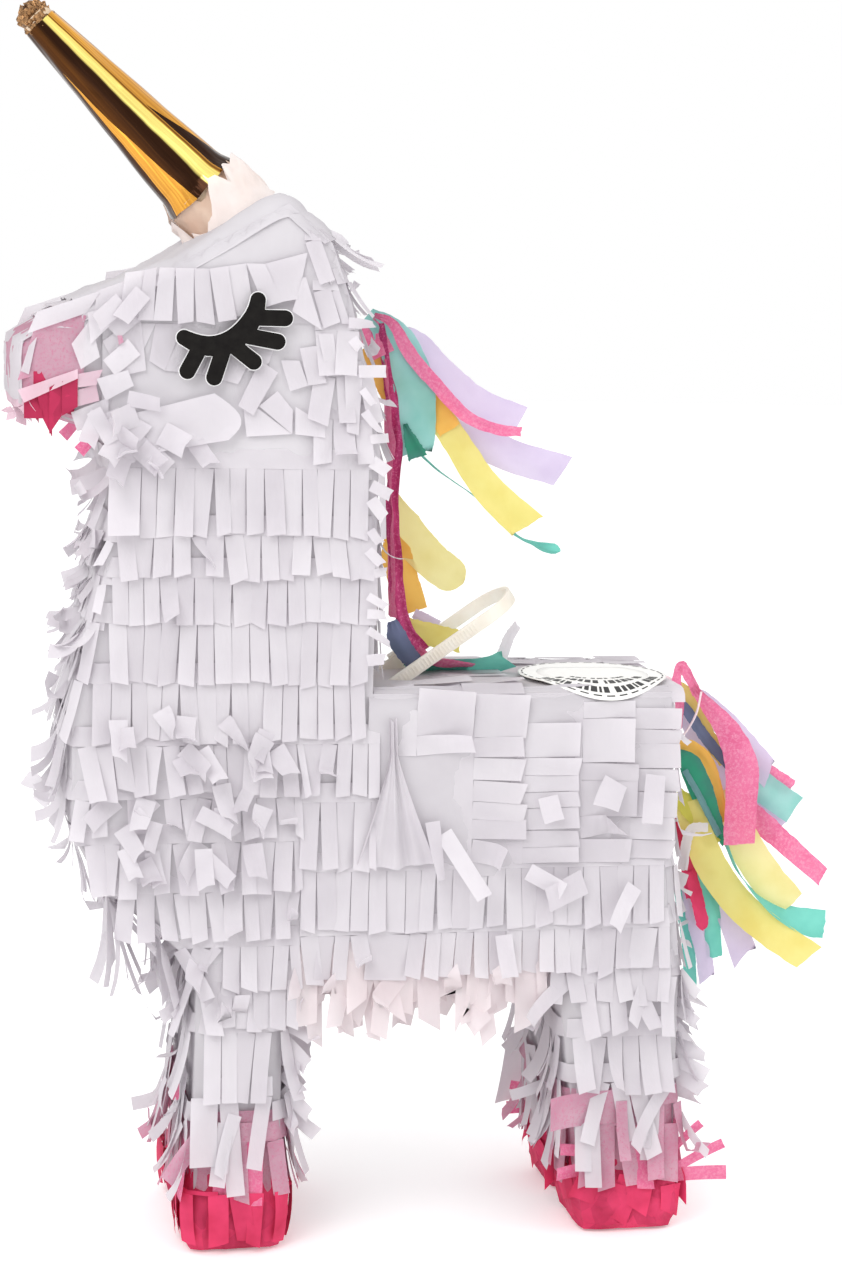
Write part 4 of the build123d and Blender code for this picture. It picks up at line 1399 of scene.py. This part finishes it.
def horn_collar():
    """Crumpled paper tape at the horn's foot, with white tissue pushed up round it."""
    base, tip, base_r, _ = horn_frame()
    for name, finish, slot, foot, rise, spread, seed in COLLARS:

        def wrap(t, angle):
            rough = wavy_ring(angle, 2.4, t * 2 + seed)
            rough += 0.5 * wavy_ring(angle, 6, t * 5 + seed)
            ragged = wavy_ring(angle, 3.5, seed + 4)
            ragged -= 1.9 * max(0.0, math.cos(angle + 0.75)) ** 6 if finish is COLLAR else 0.0
            radius = base_r + spread + 2.0 * rough + 2.2 * (1 - t)
            return polar(radius, angle, foot + (rise - foot) * t + (2.2 * rough + 6 * ragged) * t)

        sheets = Sheets()
        sheets.turned(wrap, 8, 40)
        made = sheets.piece(name, [finish], "body", slot, ["horn_base_tape"] if finish is TAPE else ())
        on_horn(made, base, tip)


# ---------------------------------------------------------------- fill flap and its label

SAG_FROM, SAG = 13, 0.03  # where the label starts to sag over the back's edge, and how fast


def label_point(radius, angle, z):
    """Point on the label at a radius and an angle about its centre; it droops beyond the back's edge."""
    x, y = FLAP.x + radius * math.cos(angle), FLAP.y + radius * math.sin(angle)
    beyond = max(0.0, FLAP.y - SAG_FROM - y)
    return Vector((x, y, z - SAG * beyond ** 2))


def label_plate(sheets, inner, outer, top, thick=0.3, closed=False, steps=84, rings=6):
    """Thin round plate between two radii, each a function of the angle; open underneath unless closed."""
    upper = [(i / rings, top) for i in range(rings + 1)]
    lower = [(share, top - thick) for share, _ in reversed(upper)]
    sheets.grid([[label_point(inner(a) + (outer(a) - inner(a)) * share, a, z) for a in full_turn(steps)]
                 for share, z in upper + (lower if closed else lower[:1])], closed=True)


def printed_bars(sheets, radius, height, start, end, pattern, z):
    """An arc of short printed bars: pattern gives each bar's length and the gap after it."""
    angle = start
    i = 0
    while angle < end:
        bar_length, gap = pattern[i % len(pattern)]
        stop = min(angle + bar_length / radius, end)
        angles = [angle + (stop - angle) * j / 3 for j in range(4)]
        edges = (radius - height / 2, radius + height / 2)
        sheets.grid([[label_point(r, a, z) for a in angles] for r in edges], 1)
        angle = stop + gap / radius
        i += 1


def cut_radius(radius, crease):
    """A circle's radius as a function of the angle, cut off by the flap's crease."""
    return lambda angle: min(radius, (crease - FLAP.y) / max(math.sin(angle), 1e-3))


def label():
    """Round paper label: a dashed cutting ring and plain bars where print would be."""
    crease = box("label_disc")[1].y
    top = box("label_disc")[1].z + 0.5
    ink_z, gap = top + 0.09, 0.08
    dashes = ((2.9, 1.7),)
    large = ((2.0, 0.7), (1.5, 0.7), (2.2, 0.7), (0.9, 0.7), (1.9, 2.2))
    small = ((1.5, 0.6), (2.0, 0.6), (1.2, 1.6))

    def centre(angle):
        return 0.0

    def printed(sheets, radius, height, turn, pattern):
        """Bars along the label's left edge, over this share of a half turn each way from its end."""
        printed_bars(sheets, radius, height, -math.pi * turn, -math.pi * (1 - turn), pattern, ink_z)

    rim = Sheets()
    label_plate(rim, cut_radius(FLAP_R + gap, crease + gap), lambda angle: LABEL_R, top)
    printed_bars(rim, LABEL_R - 1.3, 0.5, 0, 2 * math.pi, dashes, ink_z)
    printed(rim, LABEL_R - 4.2, 3.0, 0.86, large)
    made = rim.piece("label_ring", [LABEL, INK], "body", "label_paper", ["label_rim"])
    disc = Sheets()
    label_plate(disc, centre, cut_radius(FLAP_R, crease), top)
    printed(disc, FLAP_R - 2.8, 2.8, 0.84, large[::-1])
    printed(disc, FLAP_R - 7.6, 1.4, 0.8, small)
    made = disc.piece("label_disc_print", [LABEL, INK], "flap", "label_paper", ["label_disc"])
    wrap = Sheets()
    low, high = box("flap_tissue")
    label_plate(wrap, centre, cut_radius(FLAP_R, crease), high.z - 0.1, high.z - low.z - 0.4, True)
    made = wrap.piece("flap_wrap", [WHITE], "flap", "white_tissue", ["flap_tissue"])


# ---------------------------------------------------------------- hanging tie

def tie():
    """Nylon cable tie: one loop of strap with its teeth, through a ribbed square head."""
    pivot = joint("tie_swing")
    tilt, half, below, reach = math.radians(35), 12.0, 7.0, 55.0
    along = Vector((math.cos(tilt), 0, math.sin(tilt)))
    wide = along.cross(Y)
    width, thick = 4.6, 1.15
    straight = reach - half
    path = [(-below + (straight + below) * i / 54, -half) for i in range(54)]
    for i in range(25):
        angle = -math.pi / 2 + math.pi * i / 24
        path.append((straight + half * math.cos(angle), half * math.sin(angle)))
    path += [(straight - (straight + below) * i / 54, half) for i in range(1, 55)]
    path += [(-below, half - 2 * half * i / 10) for i in range(1, 10)]
    section = ((-1, -1), (-0.86, -1.15), (0.86, -1.15), (1, -1), (1, 1), (0.86, 1.15), (-0.86, 1.15),
               (-1, 1))
    sheets = Sheets()
    rows = []
    for i, (a, b) in enumerate(path):
        before, after = path[i - 1], path[(i + 1) % len(path)]
        run = Vector((after[0] - before[0], after[1] - before[1])).normalized()
        face = along * run.y - Y * run.x
        here = pivot + along * a + Y * b
        rows.append([here + wide * (u * width / 2) + face * (v * thick * 0.43) for u, v in section])
    rows.append(rows[0])
    sheets.grid(rows, closed=True)
    tooth_step, tooth_length, tooth_height = 1.3, 0.62, 0.28
    for i in range(30):
        a = -1 + tooth_step * i
        if a > straight - 1:
            break
        for side in SIDES.values():
            here = pivot + along * a + Y * (side * (half + thick / 2 + 0.02))
            bar(sheets, here, (along, wide, Y * side), tooth_length, width * 0.66, tooth_height)
    sheets.piece("hang_tie_loop", [NYLON], "tie", "nylon", ["hang_tie"], smooth=False)
    head, axes = Sheets(), (along, wide, Y)
    block, rib, tongue = (7.0, 6.4, 4.4), (0.6, 5.0, 0.3), (2.2, 4.2, 1.0)  # along the strap, across it, high
    centre = pivot + along * 11.5 + Y * (half + thick / 2 + 2.25)
    bar(head, centre - Y * 2.25, axes, *block, bevel=0.7)
    for i in range(5):
        bar(head, centre + Y * 2.15 + along * (-2.4 + 1.2 * i), axes, *rib)
    bar(head, centre - along * 4.4 - Y * 1.2, axes, *tongue, bevel=0.2)
    head.piece("hang_tie_head", [NYLON], "tie", "nylon", smooth=False)


def bar(sheets, foot, axes, length, width, height, bevel=0.12):
    """Bevelled block standing on foot, for teeth and heads: axes are along it, across it and up."""
    along, wide, out = axes
    rows = []
    for rise, inset in ((0, 0), (height - bevel, 0), (height, bevel)):
        rows.append([foot + along * (u * (length / 2 - inset)) + wide * (v * (width / 2 - inset))
                     + out * rise for u, v in ((-1, -1), (1, -1), (1, 1), (-1, 1))])
    sheets.grid(rows, closed=True)
    sheets.face(rows[-1])
    sheets.face(rows[0])


# ---------------------------------------------------------------- streamers

def smooth_line(points, count):
    """Evenly numbered points on a smooth curve through the given ones."""
    ends = [points[0] * 2 - points[1]] + list(points) + [points[-1] * 2 - points[-2]]
    line = []
    for i in range(count + 1):
        place = i / count * (len(points) - 1)
        k = min(int(place), len(points) - 2)
        t = place - k
        a, b, c, d = ends[k:k + 4]
        line.append(0.5 * (2 * b + (c - a) * t + (2 * a - 5 * b + 4 * c - d) * t ** 2
                           + (3 * b - 3 * c + d - a) * t ** 3))
    return line


LEAST_SIZE, LEAST_SHARE = 10.0, 0.31  # of a ribbon, and of the area that its size allows


class Streamer:
    """A ribbon of tissue along a curve. Turn is its face's angle about its length, at its root and
    at its tip; root is the share of its width where it is gathered; slant skews its cut end."""

    def __init__(self, name, finish, width, turn=(0, 0), root=0.35, slant=0.0, rounded=False, ripple=0.5,
                 replaces=None, narrow_end=1.0, late=1.0, opens=0.3, route=()):
        self.name, self.finish, self.route, self.width = name, finish, route, width
        self.turn, self.root, self.slant, self.rounded = turn, root, slant, rounded
        self.ripple, self.replaces, self.narrow_end = ripple, replaces, narrow_end
        self.late, self.opens = late, opens

    def build(self, pivot, body, seed, rests_on):
        """The finished ribbon on its body."""
        count, columns = 34, 8
        line = smooth_line([pivot + Vector(p) for p in self.route], count)
        length = run_length(line)
        sheets = Sheets()
        rows = []
        for i, here in enumerate(line):
            t = i / count
            along = (line[min(i + 1, count)] - line[max(i - 1, 0)]).normalized()
            side = Y.cross(along).normalized()
            face = along.cross(side)
            angle = math.radians(self.turn[0] + (self.turn[1] - self.turn[0]) * t ** self.late)
            edge = side * math.cos(angle) + face * math.sin(angle)
            facing = along.cross(edge)
            share = self.share(t)
            pleat = 0.8 * max(0.0, 1 - t / 0.3) * (1 - self.root)
            points = []
            for j in range(columns + 1):
                u = 2 * j / columns - 1
                wave = self.ripple * wavy(t * length / 9, u * 1.3, seed)
                wave += 0.8 * self.ripple * math.cos(u * 2.2 + seed) * t
                point = here + edge * (u * self.width / 2 * share)
                point += facing * (wave + pleat * math.cos(3 * math.pi * u))
                if j in (0, columns):
                    point += edge * (0.35 * wavy(u * 5, t * 20, seed))
                if i == count:
                    point += along * (self.slant * u + 0.5 * wavy(u * 4, seed, 0))
                points.append(point)
            rows.append(points)
        sheets.grid(rows)
        made = sheets.piece(self.name, [self.finish], body, SLOT_OF[self.finish.name],
                            [self.replaces] if self.replaces else ())
        wide, long = max(self.width, LEAST_SIZE), max(length, LEAST_SIZE)
        return made

    def share(self, t):
        """Share of its full width at a share t of its length."""
        share = min(1.0, self.root + (1 - self.root) * t / self.opens)
        share *= 1 + (self.narrow_end - 1) * max(0.0, t - 0.5) * 2
        if self.rounded:
            share *= math.sqrt(max(0.02, 1 - max(0.0, (t - 0.84) / 0.16) ** 2))
        return share


def mane():
    """Streamers on the nape: an upper tuft that sways, and ribbons glued below it."""
    pivot = joint("mane_sway")
    upper = [
        Streamer("mane_lilac_top", LILAC, 11.5, (8, -12), 0.5, slant=-1, replaces="mane_upper_lilac",
                 route=[(3, 4, 13), (9, 5, 9), (20, 6, -1.5), (33, 5, -11.5), (48, 4, -17)]),
        Streamer("mane_lilac_low", LILAC, 11.5, (-5, 12), 0.6, slant=-1.5,
                 route=[(4, 1, 8), (13, 2, -6), (24, 2, -18), (42, 1, -28), (63, 0, -34)]),
        Streamer("mane_pink", ROSE, 4.8, (18, 4), 0.35, narrow_end=0.7,
                 route=[(-6, -2, 19), (0, -5, 16), (6, -6, 6), (15, -7, -4), (25, -7, -14), (36, -6, -19),
                        (46, -6, -20)]),
        Streamer("mane_teal", TEAL_SOFT, 14, (-10, 14), 0.35, slant=4, replaces="mane_upper_teal",
                 route=[(-8, -1, 19), (0, -2, 12), (7, -4, -1), (9, -4, -16), (8, -3, -28)]),
        Streamer("mane_green_tip", GREEN, 6.5, (0, 10), 0.2, opens=0.9,
                 route=[(5, -4.5, -18), (7, -4.5, -23), (10, -4.5, -29.5)]),
        Streamer("mane_yellow", YELLOW, 9.4, (10, -8), 0.6, slant=-2.5, replaces="mane_upper_yellow",
                 narrow_end=1.35,
                 route=[(8, 0, -2), (16, -2, -13), (25, -4, -26), (36, -4, -41), (50, -3, -53)]),
        Streamer("mane_orange", ORANGE, 8, (10, 4), 0.7,
                 route=[(12, -1.0, -7), (17, -3.0, -14), (21, -4.4, -20)]),
        Streamer("mane_teal_thin", TEAL, 6, (88, 0), 0.6, late=7, rounded=True,
                 route=[(6, 4, -22), (17, 3, -33), (33, 2, -44), (46, 2, -56), (54, 1, -60), (63, 0, -62)]),
        Streamer("mane_orange_stub", ORANGE, 10, (0, 0), 0.8,
                 route=[(-8, 1, 8), (-4, 0, 3), (-1, -1, -2), (2, -1, -8)]),
        Streamer("mane_rose_stub", ROSE, 9, (0, 10), 0.8, route=[(-9, -1, 16), (-6, -2, 11), (-3, -3, 5)]),
    ]
    for i, streamer in enumerate(upper):
        glued = streamer.name.endswith("stub")
        streamer.build(pivot, "body" if glued else "mane", 3.1 * i, ["mane_backing_strip"])
    root = Vector((0, 0, 0))
    lower = [
        Streamer("mane_backing_strip", MAGENTA, 4.6, (52, 20), 0.9, replaces="mane_backing", ripple=1.6,
                 route=[(-21, -2, 316), (-18.5, -3, 300), (-15.5, -3, 285), (-14.5, -3, 268),
                        (-15.5, -3, 250), (-13.5, -3, 236), (-13, -3, 226), (-9.5, -3, 211),
                        (-3, -4, 203)]),
        Streamer("mane_backing_inner", ROSE, 12, (88, 92), 0.9, ripple=1.4,
                 route=[(-19.5, 0, 304), (-16.5, 0, 280), (-15.5, 0, 250), (-14, 0, 215)]),
        Streamer("mane_yellow_round", YELLOW_PALE, 13, (6, -4), 0.45, rounded=True,
                 replaces="mane_lower_yellow",
                 route=[(-13, 15, 256), (-9, 15, 247), (-4, 15, 240), (5, 15, 231), (15, 15, 225)]),
        Streamer("mane_orange_cone", ORANGE, 11, (0, 6), 0.3,
                 route=[(-13, 14, 243), (-10, 15, 235), (-7, 16, 226), (-3, 17, 214)]),
        Streamer("mane_lilac_bit", LILAC, 4, (0, 0), 0.9,
                 route=[(-4, 10, 214.5), (1, 10, 212), (5, 10, 210)]),
        Streamer("mane_yellow_low", YELLOW, 8, (12, -20), 0.7,
                 route=[(-10, 4, 212), (-4, 4, 209), (4, 4, 207), (12, 4, 205)]),
        Streamer("mane_slate", SLATE, 7, (0, 30), 0.5,
                 route=[(-15, -6, 214), (-12, -6, 206), (-7, -6, 199.5)]),
        Streamer("mane_pink_low", ROSE, 5, (30, 60), 0.9,
                 route=[(-6, -5, 203.5), (1, -4, 199.5), (8, -4, 198.4), (15, -4, 198)]),
        Streamer("mane_teal_lying", TEAL, 13, (66, 48), 0.55, slant=3, replaces="mane_lower_teal",
                 route=[(-8, 0, 198), (2, 0, 197.2), (12, 0, 196.8), (20, -1, 197.6), (27, -2, 199.6)]),
        Streamer("mane_green_lying", GREEN, 12, (80, 76), 0.6,
                 route=[(-8, 3, 197.3), (2, 3, 196.6), (14, 3, 196.3)]),
        Streamer("back_stray_strip", WHITE, 5, (10, 30), 0.9,
                 route=[(26, 4, 197), (28, 5, 202), (30, 6, 207), (33, 7, 211)]),
    ]
    for i, streamer in enumerate(lower):
        streamer.build(root, "body", 2.3 * i + 1, ["nape_strip"])


def tail():
    """Streamers of the tail and the thread that binds them."""
    pivot = joint("tail_lift")
    ribbons = [
        Streamer("tail_pink_loop", ROSE, 3.6, (-20, 40), 0.8,
                 route=[(3, -6, -15), (3, -7, -5), (1.5, -7, 3), (3, -7, 8), (6, -7, 4), (10, -6, -3)]),
        Streamer("tail_pink_wide", ROSE, 12.4, (24, -6), 0.22, opens=0.6, replaces="tail_pink",
                 route=[(8, -6, 0), (15, -7, -8), (22, -8, -17), (27, -8, -29), (27, -9, -43),
                        (27, -9, -57)]),
        Streamer("tail_lilac_top", LILAC, 9.5, (6, -8), 0.4, slant=3, replaces="tail_lilac",
                 route=[(5, 3, -2), (12, 4, -6), (22, 5, -13.5), (32, 5, -23), (42, 5, -34)]),
        Streamer("tail_ochre", OLIVE_LIGHT, 5.5, (10, 10), 0.5,
                 route=[(3, 0, 1), (7, -1, -3), (11, -2, -9), (16, -2, -19), (23, -2, -28)]),
        Streamer("tail_slate", SLATE, 4, (0, 30), 0.8,
                 route=[(3, -2, -4), (8, -3, -10), (13, -3, -17), (19, -3, -24), (25, -3, -30)]),
        Streamer("tail_lilac_mid", LILAC, 9, (0, 0), 0.4,
                 route=[(6, 2, -9), (13, 2, -18), (19, 2, -28), (24, 2, -40)]),
        Streamer("tail_orange", ORANGE, 4.6, (0, 0), 0.9,
                 route=[(3, -3, -22), (9, -4, -22), (15, -4, -27), (19, -4, -37), (22, -4, -50)]),
        Streamer("tail_green", GREEN, 8.6, (0, 26), 0.6, narrow_end=0.3,
                 route=[(3, -5, -25), (8, -6, -28), (13, -6, -38), (18, -6, -48), (23, -6, -58)]),
        Streamer("tail_green_fold", TEAL_GREY, 2.4, (0, 0), 0.9,
                 route=[(6, -7, -30), (11, -7, -38), (16, -7, -47), (20, -7, -54)]),
        Streamer("tail_olive", OLIVE, 8, (-20, 0), 0.7,
                 route=[(4, -4, -39), (9, -5, -44), (15, -5, -50), (20, -5, -57)]),
        Streamer("tail_white_strip", WHITE, 3.6, (0, 20), 0.9,
                 route=[(15, -9, -50.5), (9, -9, -51), (7, -9, -57), (6, -9, -66)]),
        Streamer("tail_teal_right", TEAL_SOFT, 11, (0, 0), 0.5, replaces="tail_teal",
                 route=[(22, 6, -27), (33, 6, -34), (44, 6, -42), (53, 6, -48)]),
        Streamer("tail_lilac_right", LILAC, 10, (0, -8), 0.5,
                 route=[(24, 7, -34), (34, 7, -43), (42, 7, -50), (47, 7, -56)]),
        Streamer("tail_pink_right", ROSE, 6, (0, 0), 0.6,
                 route=[(24, 8, -20), (35, 8, -29), (44, 8, -35), (52, 8, -40)]),
        Streamer("tail_pink_far", ROSE, 8.4, (0, 0), 0.5, slant=1, narrow_end=0.8,
                 route=[(24, 4, -40), (36, 4, -49), (48, 4, -59), (64.5, 4, -73)]),
        Streamer("tail_yellow_front", YELLOW, 11.5, (14, -10), 0.8, slant=-2.5, replaces="tail_yellow",
                 route=[(8, -5, -42), (12, -6, -53), (18, -7, -66), (28, -8, -79), (41, -8, -90),
                        (56, -8, -100)]),
        Streamer("tail_yellow_back", YELLOW_PALE, 13, (0, 0), 0.6,
                 route=[(20, -2, -40), (26, -2, -50), (33, -2, -61), (41, -2, -72), (50, -2, -82)]),
        Streamer("tail_teal_sliver", TEAL, 10.5, (-86, 4), 0.7, late=3, slant=1,
                 route=[(22, -4, -55), (29, -5, -69), (38, -5, -79), (50, -4, -86), (63, -4, -89)]),
        Streamer("tail_lilac_low", LILAC, 10, (0, 0), 0.5, slant=3,
                 route=[(18, 2, -62), (24, 1, -76), (29, 0, -88), (34, 0, -101)]),
        Streamer("tail_hot_oval", HOT, 5.0, (0, 0), 0.7, rounded=True,
                 route=[(11, -3, -68), (13, -3, -75), (15, -3, -82), (17, -3, -90)]),
        Streamer("tail_teal_strip", TEAL, 6.4, (0, 0), 0.6,
                 route=[(12, 0, -60), (18, 0, -74), (21, 0, -86), (22.5, 0, -101)]),
        Streamer("tail_lilac_strip", LILAC, 6, (0, 0), 0.6, slant=2,
                 route=[(10, 1, -70), (15, 1, -88), (18, 0, -98), (20, 0, -109)]),
        Streamer("tail_teal_deep", TEAL, 5, (0, 0), 0.7, slant=2,
                 route=[(8, 4, -70), (12, 4, -88), (14, 4, -100), (15, 4, -114)]),
        Streamer("tail_pink_dark", HOT, 6, (0, 0), 0.8,
                 route=[(6, 0, -48), (9, -1, -58), (11, -2, -68), (13, -2, -78)]),
    ]
    for i, streamer in enumerate(ribbons):
        made = streamer.build(pivot, "tail", 1.7 * i + 0.4, ["tail_thread"])
        if streamer.name == "tail_pink_loop":
            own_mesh(made)
    thread(pivot)


def tube(sheets, line, radius, sides=6):
    """Round strand along a run of points."""
    rows = []
    for i, here in enumerate(line):
        along = (line[min(i + 1, len(line) - 1)] - line[max(i - 1, 0)]).normalized()
        side = along.cross(Vector((0.3, 0.9, 0.2))).normalized()
        other = along.cross(side)
        rows.append([here + side * (radius * math.cos(angle)) + other * (radius * math.sin(angle))
                     for angle in full_turn(sides)])
    sheets.grid(rows, closed=True)
    sheets.face(rows[0])
    sheets.face(rows[-1])


def thread(pivot):
    """Turns of thread round the tail's root, and the loose end over its ribbons."""
    sheets = Sheets()
    low, high = box("tail_binding")
    turns, per_turn, length, radius = 15, 14, high.y - low.y, (high.z - low.z) / 2
    inset, core_inset = 0.35, 0.5
    rng = random.Random(9)
    line = []
    for i in range(turns * per_turn + 1):
        angle = 2 * math.pi * i / per_turn
        reach = radius - inset + rng.uniform(-0.1, 0.1)
        y = -length / 2 + 0.4 + (length - 0.8) * i / (turns * per_turn)
        line.append(pivot + Vector((reach * math.cos(angle), y, reach * math.sin(angle))))
    tube(sheets, line, 0.42)
    core = []
    for y in (-length / 2, length / 2):
        core.append([pivot + Vector(((radius - core_inset) * math.cos(angle), y,
                                     (radius - core_inset) * math.sin(angle))) for angle in full_turn(16)])
    sheets.grid(core, closed=True)
    sheets.face(core[0])
    sheets.face(core[1])
    route = (0, -6, -3), (1, -9, -18), (4, -11, -16), (8, -11, -9), (10, -10, -1)
    tube(sheets, smooth_line([pivot + Vector(p) for p in route], 24), 0.4)
    sheets.piece("tail_thread", [THREAD], "tail", "thread", ["tail_binding"])


# ---------------------------------------------------------------- the set

def cad_finishes():
    """Materials for the CAD nodes that stay in sight."""
    for name, node in frame["nodes"].items():
        if node.hide_render:
            continue
        finish = HORN_PAPER if name == "horn_core" else CARD
        node.data.materials.clear()
        node.data.materials.append(finish)
        for polygon in node.data.polygons:
            polygon.material_index = 0


def camera():
    """Level with the unicorn's cheek, a little to its front and looking slightly down."""
    turn, tip, roll = math.radians(-12), math.radians(8), math.radians(1.5)
    spot, lens = (-187.3, -865.5, 332), 72.25
    back = Vector((math.sin(turn) * math.cos(tip), -math.cos(turn) * math.cos(tip), math.sin(tip)))
    right = (-back).cross(UP).normalized()
    up = right.cross(-back)
    right, up = right * math.cos(roll) + up * math.sin(roll), up * math.cos(roll) - right * math.sin(roll)
    data = bpy.data.cameras.new("camera")
    data.lens = lens
    data.clip_start, data.clip_end = 0.05, 50
    made = placed("camera", data)
    place = Matrix((right, up, back)).transposed().to_4x4()
    place.translation = Vector(spot) * MM
    made.matrix_world = place
    bpy.context.scene.camera = made


def lamp(name, spot, aim, size, power):
    """Large soft lamp at a spot, turned to what it lights; places in millimetres."""
    data = bpy.data.lights.new(name, "AREA")
    data.shape = "DISK"
    data.size, data.energy = size, power
    made = placed(name, data)
    made.location = Vector(spot) * MM
    made.rotation_mode = "QUATERNION"
    made.rotation_quaternion = (Vector(aim) - Vector(spot)).to_track_quat("-Z", "Y")


def studio():
    """White sweep of a floor, a bright even sky and two soft lamps."""
    world = bpy.data.worlds.new("studio")
    world.use_nodes = True
    world.node_tree.nodes["Background"].inputs[0].default_value = (1, 1, 1, 1)
    world.node_tree.nodes["Background"].inputs[1].default_value = SKY
    bpy.context.scene.world = world
    bpy.context.scene.view_settings.view_transform = "Standard"
    middle = (cad_low + cad_high) / 2 / MM
    lamp("key", (-700, -900, 1100), middle, 1.0, KEY)
    lamp("fill", (900, -700, 600), middle, 1.4, KEY * 0.3)
    half = 6000
    sheets = Sheets()
    sheets.surface(lambda t, u: Vector(((2 * t - 1) * half, (2 * u - 1) * half, 0)), 12, 12)
    glow = {"Emission Color": (1, 1, 1, 1), "Emission Strength": 0.22}
    pale = plain_finish("floor", (0.95, 0.95, 0.95), (0.94, 0.94, 0.94), 6, 0.9, 0.01, extra=glow)
    floor = placed("floor", sheets.mesh("floor", [pale]))


camera()
studio()
lining()
neck_fringe()
chest_fringe()
for word in SIDES:
    flank_fringe(word)
rump_fringe()
back_wrap()
belly_fringe()
for leg in LEGS:
    for word in SIDES:
        leg_fringe(leg, word)
        hoof(leg, word)
head_tissue()
muzzle()
eyes()
horn()
horn_tip()
horn_collar()
label()
tie()
mane()
tail()
cad_finishes()
